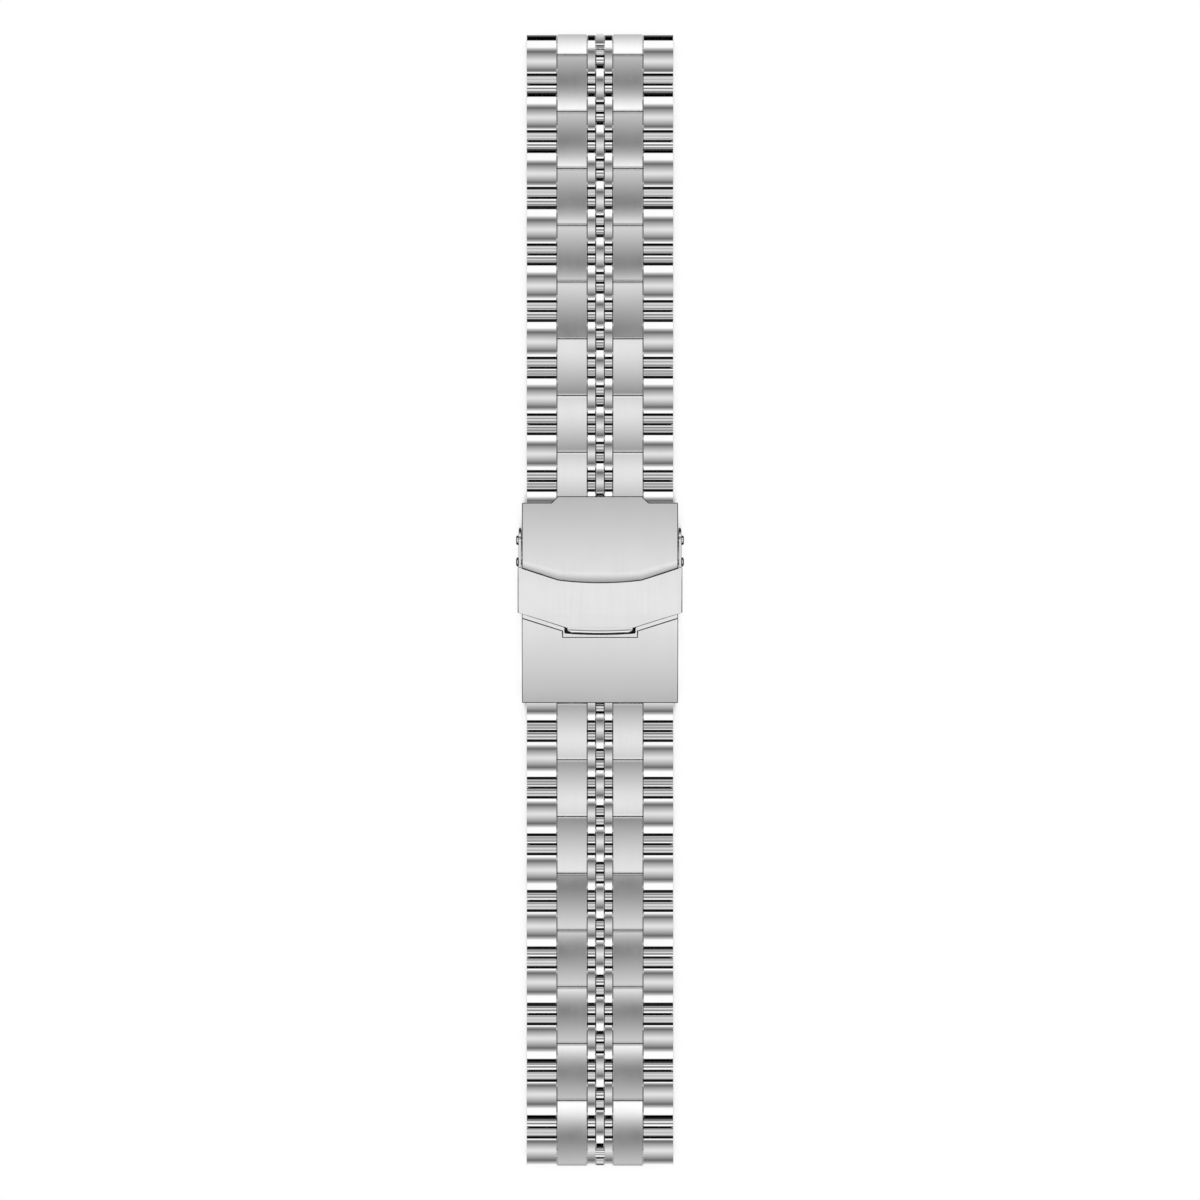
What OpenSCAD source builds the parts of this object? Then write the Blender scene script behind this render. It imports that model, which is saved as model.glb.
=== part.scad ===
// Link bracelet for a wrist watch, laid out straight and face up.
// X runs across the band, Y along it and Z up; the hidden side rests on Z = 0.
// Rows of two kinds take turns along the band: an outer row holds the two polished outer
// links and the two side beads, and an inner row holds the two brushed plates and the
// centre bead. Each hinge pin crosses all seven columns.

/* [Band] */
// Width over all the links, which is the lug width of the watch
band_w = 22; // [21:0.5:23]
// Distance from one link of a column to the next one
pitch = 8.5; // [8.2:0.1:8.8]
// Height of the brushed plates
link_h = 3.2; // [3.1:0.05:3.4]
// Gap between neighbouring links of one column
end_gap = 0.25; // [0.22:0.01:0.3]
// Gap between neighbouring columns
col_gap = 0.1; // [0.08:0.01:0.14]

/* [Links] */
// Width of an outer link
outer_w = 4.5; // [4.2:0.1:4.7]
// Width of a side bead and of a centre bead
bead_w = 1.18; // [1:0.02:1.3]
// Length of the raised crown of an outer link or a bead
crown_l = 6.06; // [5.8:0.02:6.3]
// How far a crown stands above the plates
crown_rise = 0.1; // [0.05:0.01:0.15]
// Radius of a crown's top, seen from the side
crown_r = 6; // [5:0.5:8]
// Height of the step at each end of a crown
step_h = 2.2; // [2:0.05:2.3]
// Radius of the plates' hollow tops, seen from the side
plate_r = 30; // [25:1:40]
// How far the plates' ends lie below the link height
plate_drop = 0.15; // [0.15:0.01:0.3]

/* [Hinge pins] */
// Radius of a hinge pin
pin_r = 0.5; // [0.4:0.02:0.55]
// How far a pin's ends lie below the sides of the outer links
pin_sink = 0.15; // [0.05:0.05:0.4]
// Radial clearance of a hinge pin in the links that it holds fast
pin_press = 0.01; // [0.005:0.005:0.02]
// Radial clearance of a pin in whatever turns on it
pin_fit = 0.05; // [0.03:0.01:0.08]

/* [End links] */
// Length of the upper end link past its hinge pin
upper_reach = 5.24; // [5.1:0.02:5.6]
// Length of the lower end link past its hinge pin
lower_reach = 7.69; // [7.5:0.02:8]
// Radius of the bore for the watch's spring bar
lug_bore_r = 0.9; // [0.8:0.02:0.95]
// Wall between that bore and the end face
lug_wall = 0.64; // [0.55:0.02:0.75]
// Height up to which the columns of an end link are one piece
web_h = 2; // [1.8:0.05:2.15]

/* [Clasp cover] */
// Gap between the band and the cover's side walls
side_gap = 0.15; // [0.1:0.01:0.4]
// Distance from the clasp's centre to the cover's upper shoulders
cover_up = 14.52; // [14.3:0.02:14.8]
// Distance from the clasp's centre to the cover's lower edge
cover_down = 15.37; // [15.2:0.01:15.6]
// How far the tongue at the upper end stands out
tongue_l = 0.97; // [0.6:0.01:1.2]
// Width of the tongue's edge
tongue_w = 12.58; // [11:0.02:14]
// Thickness of the cover's roof
roof_t = 0.9; // [0.8:0.02:1]
// Thickness of the cover's side walls
wall_t = 0.5; // [0.4:0.02:0.52]
// Radius of the cover's arched top
arch_r = 130; // [110:1:140]
// Room between the links and the roof at the cover's ends
head_room = 0.35; // [0.3:0.01:0.4]
// Height of the walls' lower edge above the surface below
wall_lift = 0.8; // [0.6:0.05:1]
// Depth of the pocket that the safety flap lies in
pocket_d = 1.05; // [1:0.01:1.15]
// Thickness of the pocket's floor
floor_t = 0.5; // [0.45:0.01:0.55]
// Distance from the clasp's centre to the edge of the upper pad, at its middle
pad_mid_y = 2.62; // [2.5:0.02:3]
// How far that edge bows out in its middle
pad_bow = 0.4; // [0.1:0.02:0.5]
// The same distance at the cover's sides
pad_side_y = 4.86; // [4.6:0.02:5]
// Width of the bowed middle of that edge
pad_mid_w = 12.4; // [11:0.2:14]
// Gap between the flap's lower edge and the lower pad, along the band
groove_w = 0.66; // [0.4:0.02:0.8]

/* [Safety flap] */
// Thickness of the flap's sides
skirt_t = 0.52; // [0.4:0.02:0.6]
// Thickness of the flap's arms
arm_t = 0.4; // [0.3:0.02:0.5]
// Clearance between the flap and the cover
flap_gap = 0.1; // [0.08:0.01:0.14]
// How far the flap's top lies below the cover's
flap_sink = 0.1; // [0.05:0.01:0.2]
// Distance from the clasp's centre to the flap's lower corners
flap_low_side = 1.9; // [1.8:0.02:2.4]
// Distance from the clasp's centre to the flap's straight lower edge
flap_low_mid = 4.12; // [3.8:0.02:4.3]
// Width of that straight edge, and of the finger lip on it
lip_w = 10.48; // [9:0.02:12]
// How far the finger lip stands out
lip_l = 1.13; // [1:0.01:1.3]
// Thickness of the finger lip
lip_t = 0.5; // [0.4:0.02:0.6]
// Radius of the finger lip's round nose
lip_r = 0.94; // [0.8:0.02:1.1]
// Room in front of the finger lip for a nail
nail_gap = 0.38; // [0.3:0.02:0.6]
// Distance from the clasp's centre to the flap's pivots
pivot_y = 8.95; // [8.9:0.01:9.1]
// Height of the pivots and of the buttons
pivot_z = 2.6; // [2.55:0.01:2.65]
// Radius of the arms' rounded ends
arm_r = 1.9; // [1.8:0.02:1.95]
// Height of the flap's sides above the surface below
skirt_lift = 2; // [1.5:0.1:2.4]

/* [Pivots and buttons] */
// Radius of the heads of the pivots and of the buttons
head_r = 0.73; // [0.65:0.01:0.75]
// Thickness of those heads
head_t = 0.37; // [0.3:0.01:0.38]
// Radius of the pivots' shanks and of the buttons' stems
shank_r = 0.4; // [0.35:0.01:0.42]
// Radius of a pivot's inner flange
flange_r = 0.6; // [0.5:0.01:0.62]
// Radius of a button's inner collar
collar_r = 0.7; // [0.6:0.01:0.72]
// Thickness of flanges, collars and latch arms
collar_t = 0.4; // [0.35:0.01:0.42]
// How far a button travels inwards
button_travel = 0.5; // [0.4:0.01:0.52]
// Radius of the wire of a button's spring
wire_r = 0.1; // [0.08:0.01:0.12]
// Radius from a button spring's axis to its wire
coil_r = 0.45; // [0.42:0.01:0.48]
// Length of a button's spring
spring_l = 2.1; // [1.9:0.05:2.3]

/* [Blades] */
// Distance from the clasp's centre to the first hinge pin of the upper band
upper_pin_y = 11.5; // [11.45:0.01:11.6]
// Distance from the clasp's centre to the spring bar of the lower band
bar_y = 13.3; // [13.2:0.02:13.4]
// Distance from the clasp's centre to the pin that joins cover and middle blade
block_y = 5.69; // [5.6:0.01:5.8]
// Radius of the blades' hinge eyes
eye_r = 1.2; // [1.1:0.02:1.25]
// Radius of the blades' hinge pins
blade_pin_r = 0.55; // [0.5:0.01:0.6]
// Thickness of both blades
blade_t = 1.1; // [1:0.05:1.2]
// Clearance between the blades and what lies beside them
blade_gap = 0.15; // [0.1:0.01:0.18]
// Room between the long blade and the cover's walls
rail_gap = 0.65; // [0.55:0.01:0.75]
// Room between the middle blade and the sides of the long blade's window
window_gap = 1; // [0.8:0.05:1.2]
// Width of the middle blade's hinge eyes
eye_w = 7; // [6.5:0.05:7.2]
// Thickness of the lugs that hold the middle blade
lug_t = 1.85; // [1.6:0.05:2]
// Length along the band of the block that carries those lugs
block_l = 2.6; // [2.5:0.02:2.65]

/* [Spring bar] */
// Radius of the spring bar's tube
bar_r = 0.6; // [0.5:0.01:0.62]
// Radius of the spring bar's tips
tip_r = 0.35; // [0.3:0.01:0.38]
// Distance between the holes in which the bar can sit
adjust_step = 1.3; // [1.2:0.02:1.32]
// Pairs of those holes in the cover's walls
adjust_holes = 3; // [1:1:3]

/* [Catch posts] */
// Radius of a catch post
post_r = 0.35; // [0.3:0.01:0.36]
// Height of a catch post above the blade
post_h = 1; // [0.8:0.02:1.05]
// Room between a catch post and the latch arm beside it, with the button pressed
post_gap = 0.4; // [0.3:0.02:0.5]
// Width of a latch arm along the band
latch_w = 0.8; // [0.7:0.02:0.85]

/* [Hidden] */
$fn = 64;
fine = 720;
bit = 0.01;
rows = 8;
upper_outer = [for (i = [1 : rows]) str("upper_outer_", i)];
upper_inner = [for (i = [1 : rows]) str("upper_inner_", i)];
lower_outer = [for (i = [1 : rows]) str("lower_outer_", i)];
lower_inner = [for (i = [1 : rows - 1]) str("lower_inner_", i)];
clasp_nodes = [
  "clasp_cover", "hinge_block", "cover_hinge_pin", "flap_pivots", "safety_flap",
  "button_left", "button_right", "button_spring_left", "button_spring_right",
  "middle_blade", "blade_hinge_pin", "long_blade", "catch_posts",
  "clasp_spring_bar"
];

// Places along the band
step = pitch / 2;
pin_out = pitch / 4;
upper_end_y = upper_pin_y + 2 * rows * step;
lower_end_y = bar_y + (2 * rows - 1) * step;
top_y = upper_end_y + upper_reach;
bottom_y = -lower_end_y - lower_reach;
shift_y = -(top_y + bottom_y) / 2;

// Links
pin_z = link_h / 2;
end_r = pin_out - end_gap / 2;
crown_top = link_h + crown_rise;
plate_w = (band_w - 2 * outer_w - 3 * bead_w - 6 * col_gap) / 2;
outer_x = (band_w - outer_w) / 2;
plate_x = band_w / 2 - outer_w - col_gap - plate_w / 2;
side_x = bead_w + col_gap;
pin_l = band_w - 2 * pin_sink;
fixed_hole = pin_r + pin_press;
free_hole = pin_r + pin_fit;
bore_in = lug_wall + lug_bore_r;

// Clasp cover
inner_w = band_w + 2 * side_gap;
cover_w = inner_w + 2 * wall_t;
cover_top = crown_top + head_room + roof_t + arch_r - sqrt(arch_r * arch_r - cover_down * cover_down);
pocket_z = cover_top - pocket_d;
ceiling_z = pocket_z - floor_t;
flap_top = cover_top - flap_sink;
flap_in = cover_w / 2 + flap_gap;
flap_w = 2 * (flap_in + skirt_t);
edge_rise = flap_top - pivot_z;
pad_steps = 6;
pad_side_r = norm([pivot_y - pad_side_y, edge_rise]);
floor_edge = pivot_y - sqrt(pad_side_r * pad_side_r - (pocket_z - pivot_z) * (pocket_z - pivot_z));
ceiling_up = floor_edge + floor_t;
nail_y = flap_low_mid + lip_l + nail_gap;
nose_l = sqrt(lip_r ^ 2 - (lip_r - lip_t) ^ 2);
ceiling_down = nail_y + floor_t;

// Pivots and buttons
button_r = pivot_y - block_y;
button_reach = button_r + head_r + flap_gap;
skirt_end = min(pad_side_y, pivot_y - button_reach) - pin_fit;
head_in = cover_w / 2 + max(flap_gap + arm_t, button_travel) + pin_fit;
collar_out = inner_w / 2 - pin_fit;
collar_in = collar_out - collar_t;
spring_in = collar_in - spring_l;

// Blades
blade_z = eye_r;
blade_low = blade_z - blade_t / 2;
fold_y = bar_y - (adjust_holes - 1) * adjust_step - end_r - eye_r - blade_gap;
lug_in = eye_w / 2 + blade_gap;
middle_w = 2 * (lug_in + lug_t);
window_w = middle_w + 2 * window_gap;
long_w = inner_w - 2 * rail_gap;
rail_w = (long_w - window_w) / 2;
rail_x = (long_w - rail_w) / 2;
block_low = blade_low + blade_t + 2 * blade_gap;
post_y = block_y - block_l / 2 - 2 * blade_gap - latch_w / 2;
post_x = collar_in - button_travel - post_gap - post_r;
bar_low = block_y + block_l / 2 + blade_gap;
bar_high = upper_pin_y - end_r - blade_gap;
latch_low = blade_low + blade_t + post_h + blade_gap;
latch_top = ceiling_z - blade_gap;
latch_in = post_x - post_r - blade_gap - collar_t;

// Everything is drawn about the clasp's centre and then moved to the band's own.
module placed() translate([0, shift_y, 0]) children();

// A side view, with Y to the right and Z up, given a width across the band
module across(w) rotate([90, 0, 90]) linear_extrude(w, center = true) children();

// The same solid on the left and on the right
module both_sides(x) for (s = [-1, 1]) translate([s * x, 0, 0]) children();

// A round bar across the band
module cross_bar(r, w) rotate([0, 90, 0]) cylinder(r = r, h = w, center = true);

// Side view of a link's lower part: rounded about both of its pins, so that it can turn
module rounded_body(h) intersection() {
  union() {
    for (s = [-1, 1]) translate([s * pin_out, pin_z]) circle(r = end_r);
    translate([-pin_out, pin_z - end_r]) square([2 * pin_out, 2 * end_r]);
  }
  translate([-step, 0]) square([2 * step, h]);
}

// Side view of an outer link or a bead: a raised crown with a lower step at each end
module crown_view() {
  rounded_body(step_h);
  intersection() {
    translate([0, crown_top - crown_r]) circle(r = crown_r, $fn = fine);
    translate([-crown_l / 2, pin_z]) square([crown_l, crown_top - pin_z]);
  }
}

// Side view of a plate's hollow top, from y0 to y1
module plate_top(y0, y1) difference() {
  translate([y0, 0]) square([y1 - y0, link_h - plate_drop]);
  translate([(y0 + y1) / 2, link_h - plate_drop + sqrt(plate_r ^ 2 - (y1 - y0) ^ 2 / 4)])
    circle(r = plate_r, $fn = fine);
}

// Side view of a brushed plate
module plate_view() {
  rounded_body(pin_z);
  intersection() {
    plate_top(-pin_out - end_r, pin_out + end_r);
    translate([-pitch / 2, pin_z]) square([pitch, link_h]);
  }
}

// Side view of a pin hole
module pin_hole(y, r) translate([y, pin_z]) circle(r = r);

// Links of the outer row: sizes of the holes towards the lower and the upper neighbour
module outer_links(hole_low, hole_high) {
  both_sides(outer_x) across(outer_w) holed(hole_low, hole_high) crown_view();
  both_sides(side_x) across(bead_w) holed(hole_low, hole_high) crown_view();
}

module inner_links(hole) {
  both_sides(plate_x) across(plate_w) holed(hole, hole) plate_view();
  across(bead_w) holed(hole, hole) crown_view();
}

module holed(low, high) difference() {
  children();
  pin_hole(-pin_out, low);
  pin_hole(pin_out, high);
}

module hinge_pin(y) translate([0, y, pin_z]) cross_bar(pin_r, pin_l);

// Row k of the upper band, counted from the clasp
module upper_row(k) placed() translate([0, upper_pin_y + k * step + pin_out, 0]) children();

// Row k of the lower band, counted from the clasp
module lower_row(k) placed() translate([0, -bar_y - k * step - pin_out, 0]) children();

module upper_outer_row(i) color("gainsboro") upper_row(2 * i - 2) {
  outer_links(fixed_hole, fixed_hole);
  hinge_pin(-pin_out);
  hinge_pin(pin_out);
}

module upper_inner_row(i) color("silver") upper_row(2 * i - 1) inner_links(free_hole);

// The first lower row turns on the spring bar, so it brings one hinge pin of its own.
module lower_outer_row(i) color("gainsboro") lower_row(2 * i - 2) {
  outer_links(fixed_hole, i == 1 ? bar_r + pin_fit : fixed_hole);
  hinge_pin(-pin_out);
  if (i > 1) hinge_pin(pin_out);
}

module lower_inner_row(i) color("silver") lower_row(2 * i - 1) inner_links(free_hole);

// The end link at the upper lug: an outer row whose inner columns are filled in
module upper_end_link() color("gainsboro") upper_row(2 * rows) {
  end_y = upper_reach - pin_out;
  difference() {
    union() {
      both_sides(outer_x) across(outer_w) cut_view(-step, end_y) crown_view();
      both_sides(side_x) across(bead_w) cut_view(-step, end_y) crown_view();
      both_sides(plate_x) across(plate_w) cut_view(0, end_y) translate([step, 0]) plate_view();
      across(bead_w) cut_view(0, end_y) translate([step, 0]) crown_view();
      across(band_w) translate([end_gap / 2, 0]) square([end_y - end_gap / 2, web_h]);
    }
    translate([0, end_y - bore_in, pin_z]) cross_bar(lug_bore_r, band_w + 1);
    translate([0, -pin_out, pin_z]) cross_bar(fixed_hole, band_w + 1);
  }
  hinge_pin(-pin_out);
}

// The part of a side view between y0 and y1
module cut_view(y0, y1) intersection() {
  children();
  translate([y0, 0]) square([y1 - y0, crown_top]);
}

// The end link at the lower lug: an inner row joined to the start of the next outer row
module lower_end_link() color("gainsboro") lower_row(2 * rows - 1) {
  end_y = pin_out - lower_reach;
  difference() {
    union() {
      both_sides(plate_x) across(plate_w) {
        rounded_body(pin_z);
        intersection() {
          plate_top(end_y, pin_out + end_r);
          translate([end_y, pin_z]) square([pitch + lower_reach, link_h]);
        }
        translate([end_y, 0]) square([-end_y, pin_z]);
      }
      across(bead_w) cut_view(end_y, step) union() {
        crown_view();
        translate([-pitch, 0]) crown_view();
      }
      both_sides(outer_x) across(outer_w) cut_view(end_y, 0) translate([-step, 0]) crown_view();
      both_sides(side_x) across(bead_w) cut_view(end_y, 0) translate([-step, 0]) crown_view();
      across(band_w) translate([end_y, 0]) square([-pin_out - end_y, web_h]);
    }
    translate([0, end_y + bore_in, pin_z]) cross_bar(lug_bore_r, band_w + 1);
    translate([0, pin_out, pin_z]) cross_bar(free_hole, band_w);
  }
}

// Side view under the arch of radius r whose top is at height top
module under_arch(top, r) translate([0, top - r]) circle(r = r, $fn = fine);

// Side view of the room inside the cover, smaller by d on every side
module cover_room(d) difference() {
  intersection() {
    under_arch(cover_top - roof_t - d, arch_r - roof_t - d);
    translate([-cover_down - 1, -1]) square([cover_down + cover_up + tongue_l + 2, cover_top + 1]);
  }
  translate([-ceiling_down - d, ceiling_z - d]) square([ceiling_down + ceiling_up + 2 * d, cover_top]);
}

// Distance from the pivots to the upper pad's edge, t of the way from its middle to the bow's end
function pad_r(t) = norm([pivot_y - pad_mid_y - pad_bow * t * t, edge_rise]);

// Round about the flap's pivots, inside which the upper pad's edge keeps
module pad_round(grow) translate([0, pivot_y, pivot_z]) rotate([0, 90, 0])
  rotate_extrude($fn = fine) polygon([
    [0, -flap_in],
    [pad_side_r + grow, -flap_in],
    for (k = [-pad_steps : pad_steps])
      [pad_r(k / pad_steps) + grow, k / pad_steps * pad_mid_w / 2],
    [pad_side_r + grow, flap_in],
    [0, flap_in]
  ]);

// Plan of the flap up to Y = high, with its lower edge moved down the band by d
module flap_plan(d, high) polygon([
  [-flap_w / 2, high],
  [-flap_w / 2, -flap_low_side - d],
  [-lip_w / 2, -flap_low_mid - d],
  [lip_w / 2, -flap_low_mid - d],
  [flap_w / 2, -flap_low_side - d],
  [flap_w / 2, high]
]);

// Plan of the finger lip, larger by d at its sides and at its edge
module lip_plan(d) translate([-lip_w / 2 - d, -flap_low_mid - lip_l - d])
  square([lip_w + 2 * d, lip_l + d + lip_t]);

module cover_plan() polygon([
  [-cover_w / 2, -cover_down],
  [cover_w / 2, -cover_down],
  [cover_w / 2, cover_up],
  [tongue_w / 2 + tongue_l, cover_up],
  [tongue_w / 2, cover_up + tongue_l],
  [-tongue_w / 2, cover_up + tongue_l],
  [-tongue_w / 2 - tongue_l, cover_up],
  [-cover_w / 2, cover_up]
]);

module clasp_cover() color("silver") placed() difference() {
  intersection() {
    across(cover_w) intersection() {
      under_arch(cover_top, arch_r);
      translate([-cover_down, wall_lift]) square([cover_down + cover_up + tongue_l, cover_top]);
    }
    linear_extrude(cover_top + 1) cover_plan();
  }
  across(inner_w) cover_room(0);
  difference() {
    translate([0, 0, pocket_z]) linear_extrude(pocket_d + 1) union() {
      flap_plan(groove_w, pivot_y);
      lip_plan(nail_gap);
    }
    pad_round(0);
  }
  translate([0, pivot_y, pivot_z]) cross_bar(shank_r + pin_press, cover_w + 1);
  translate([0, block_y, pivot_z]) cross_bar(shank_r + pin_fit, cover_w + 1);
  for (i = [0 : adjust_holes - 1])
    translate([0, i * adjust_step - bar_y, pin_z]) cross_bar(tip_r + pin_fit, cover_w + 1);
}

// Block under the roof that holds the middle blade and backs the button springs
module hinge_block() color("darkgray") placed() difference() {
  union() {
    across(2 * spring_in) intersection() {
      cover_room(pin_press);
      translate([block_y - block_l / 2, block_low]) square([block_l, cover_top]);
    }
    both_sides(lug_in + lug_t / 2) across(lug_t) union() {
      translate([block_y, blade_z]) circle(r = eye_r);
      translate([block_y - eye_r, blade_z]) square([2 * eye_r, block_low + blade_gap - blade_z]);
    }
  }
  translate([0, block_y, blade_z]) cross_bar(blade_pin_r + pin_press, cover_w);
  across(2 * lug_in) translate([block_y - block_l, 0]) square([2 * block_l, 2 * eye_r + blade_gap]);
}

module cover_hinge_pin() color("gainsboro") placed()
  translate([0, block_y, blade_z]) cross_bar(blade_pin_r, middle_w);

// Rivets on which the safety flap turns
module flap_pivots() color("gainsboro") placed() for (s = [0, 1]) mirror([s, 0, 0]) rivet();

module rivet() translate([0, pivot_y, pivot_z]) rotate([0, 90, 0]) {
  translate([0, 0, head_in]) head();
  translate([0, 0, collar_in]) cylinder(r = shank_r, h = head_in - collar_in + bit);
  translate([0, 0, collar_in]) cylinder(r = flange_r, h = collar_t);
}

// A head that stands out to the side, bevelled at its rim
module head() {
  cylinder(r = head_r, h = head_t / 2);
  translate([0, 0, head_t / 2]) cylinder(r1 = head_r, r2 = head_r - head_t / 2, h = head_t / 2);
}

// Side view of a flap arm: round at the pivot, and free of the way of the button's head
module arm_view() difference() {
  union() {
    translate([pivot_y, pivot_z]) circle(r = arm_r);
    translate([skirt_end - floor_t, pivot_z]) square([pivot_y - skirt_end + floor_t, arm_r]);
  }
  difference() {
    translate([pivot_y, pivot_z]) circle(r = button_reach, $fn = fine);
    translate([pivot_y, pivot_z]) circle(r = button_r - head_r - flap_gap);
    translate([0, pivot_z]) square([pivot_y, cover_top]);
  }
  translate([block_y, pivot_z]) circle(r = head_r + flap_gap);
}

module safety_flap() color("gainsboro") placed() difference() {
  union() {
    intersection() {
      across(flap_w) flap_section(pocket_z + flap_gap / 2);
      linear_extrude(cover_top) flap_plan(0, pad_side_y);
    }
    intersection() {
      across(lip_w) lip_section();
      linear_extrude(cover_top) lip_plan(0);
    }
    both_sides(flap_in + skirt_t / 2) across(skirt_t) intersection() {
      flap_section(skirt_lift);
      translate([-flap_low_side, 0]) square([flap_low_side + skirt_end, cover_top]);
    }
    both_sides(flap_in + arm_t / 2) across(arm_t) arm_view();
  }
  pad_round(flap_gap);
  translate([0, pivot_y, pivot_z]) cross_bar(shank_r + pin_fit, flap_w + 1);
}

// Side view of the finger lip and its round nose
module lip_section() intersection() {
  flap_section(flap_top - lip_t);
  translate([nose_l - flap_low_mid - lip_l, flap_top - lip_r]) union() {
    circle(r = lip_r, $fn = fine);
    square([lip_l, lip_r + bit]);
  }
}

// Side view of the flap's plate above height z
module flap_section(z) intersection() {
  under_arch(flap_top, arch_r);
  translate([-cover_down, z]) square([cover_down + pivot_y, cover_top]);
}

// Push button with its stem, collar and the latch arm that reaches over a catch post
module push_button() {
  translate([0, block_y, pivot_z]) rotate([0, 90, 0]) {
    translate([0, 0, head_in]) head();
    translate([0, 0, collar_in]) cylinder(r = shank_r, h = head_in - collar_in + bit);
    translate([0, 0, collar_in]) cylinder(r = collar_r, h = collar_t);
  }
  arm_y = post_y - latch_w / 2;
  translate([collar_in, arm_y, pivot_z - shank_r]) cube([collar_t, block_y - arm_y, latch_top - pivot_z + shank_r]);
  translate([latch_in, arm_y, latch_low]) cube([collar_out - latch_in, latch_w, latch_top - latch_low]);
  translate([latch_in, arm_y, pivot_z - collar_r]) cube([collar_t, latch_w, latch_top - pivot_z + collar_r]);
}

module button_right() color("gainsboro") placed() push_button();
module button_left() color("gainsboro") placed() mirror([1, 0, 0]) push_button();

// Coil spring between the block and a button's collar, drawn as one swept tube
spring_curls = 5;
ring_steps = 8;
ring_sides = 6;
spring_ends = [spring_in + wire_r + bit, collar_in - wire_r - bit];
rings = spring_curls * ring_steps;
coil_rise = (spring_ends[1] - spring_ends[0]) / rings;

function coil_point(i) = let (a = 360 * i / ring_steps)
  [spring_ends[0] + i * coil_rise, coil_r * cos(a), coil_r * sin(a)];

function ring_point(i, j) = let (
    a = 360 * i / ring_steps,
    b = 360 * j / ring_sides,
    out = [0, cos(a), sin(a)],
    along = [1, 0, 0]
  ) coil_point(i) + wire_r * (cos(b) * out + sin(b) * along);

module button_spring() translate([0, block_y, pivot_z]) polyhedron(
  points = [for (i = [0 : rings], j = [0 : ring_sides - 1]) ring_point(i, j)],
  faces = concat(
    [[for (j = [0 : ring_sides - 1]) j]],
    [for (i = [0 : rings - 1], j = [0 : ring_sides - 1])
      let (n = (j + 1) % ring_sides, a = i * ring_sides, b = a + ring_sides) [a + j, b + j, a + n]],
    [for (i = [0 : rings - 1], j = [0 : ring_sides - 1])
      let (n = (j + 1) % ring_sides, a = i * ring_sides, b = a + ring_sides) [a + n, b + j, b + n]],
    [[for (j = [0 : ring_sides - 1]) rings * ring_sides + ring_sides - 1 - j]]
  )
);

module button_spring_right() color("silver") placed() button_spring();
module button_spring_left() color("silver") placed() mirror([1, 0, 0]) button_spring();

// Blade between the cover and the long blade, which lies in the long blade's window
module middle_blade() color("silver") placed() difference() {
  union() {
    across(eye_w) union() {
      for (y = [block_y, -fold_y]) translate([y, blade_z]) circle(r = eye_r);
      translate([-fold_y, blade_low]) square([fold_y + block_y, blade_t]);
    }
    across(middle_w) translate([-fold_y + eye_r + 2 * blade_gap, blade_low])
      square([fold_y + block_y - 2 * eye_r - 4 * blade_gap, blade_t]);
  }
  for (y = [block_y, -fold_y])
    translate([0, y, blade_z]) cross_bar(blade_pin_r + pin_fit, cover_w);
}

module blade_hinge_pin() color("gainsboro") placed()
  translate([0, -fold_y, blade_z]) cross_bar(blade_pin_r, window_w);

// Blade that carries the upper band: two rails round a window, with knuckles at both ends
module long_blade() color("silver") placed() difference() {
  union() {
    both_sides(rail_x) across(rail_w) translate([-fold_y, blade_low])
      square([fold_y + bar_high, blade_t]);
    across(long_w) translate([bar_low, blade_low]) square([bar_high - bar_low, blade_t]);
    both_sides(lug_in / 2 + long_w / 4) across(long_w / 2 - lug_in) translate([-fold_y, blade_z])
      circle(r = eye_r);
    both_sides(plate_x) across(plate_w) end_knuckle();
    across(bead_w) end_knuckle();
  }
  translate([0, upper_pin_y, pin_z]) cross_bar(free_hole, band_w);
  translate([0, -fold_y, blade_z]) cross_bar(blade_pin_r + pin_press, window_w);
  both_sides(post_x) translate([0, post_y, 0]) cylinder(r = post_r + pin_press, h = link_h);
}

// Side view of a knuckle that carries the first hinge pin of the upper band
module end_knuckle() {
  translate([upper_pin_y, pin_z]) circle(r = pin_z);
  translate([bar_low, blade_low]) square([upper_pin_y - bar_low, blade_t]);
}

module catch_posts() color("gainsboro") placed()
  both_sides(post_x) translate([0, post_y, blade_low]) cylinder(r = post_r, h = blade_t + post_h);

// Spring bar that holds the lower band in one pair of the cover's holes
module clasp_spring_bar() color("gainsboro") placed() translate([0, -bar_y, pin_z]) {
  cross_bar(bar_r, band_w);
  cross_bar(tip_r, cover_w - 2 * pin_sink);
}

upper_end_link();
for (i = [1 : rows]) upper_outer_row(i);
for (i = [1 : rows]) upper_inner_row(i);
clasp_cover();
hinge_block();
cover_hinge_pin();
flap_pivots();
safety_flap();
button_left();
button_right();
button_spring_left();
button_spring_right();
middle_blade();
blade_hinge_pin();
long_blade();
catch_posts();
clasp_spring_bar();
for (i = [1 : rows]) lower_outer_row(i);
for (i = [1 : rows - 1]) lower_inner_row(i);
lower_end_link();
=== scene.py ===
"""Link watch bracelet, laid out straight and face up: polished crowns, brushed plates and a folding clasp."""

import math

import bmesh
import bpy
from bpy.props import FloatProperty, FloatVectorProperty, IntProperty, PointerProperty
from bpy.types import Operator, Panel, PropertyGroup
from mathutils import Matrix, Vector
from mathutils.geometry import tessellate_polygon


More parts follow.
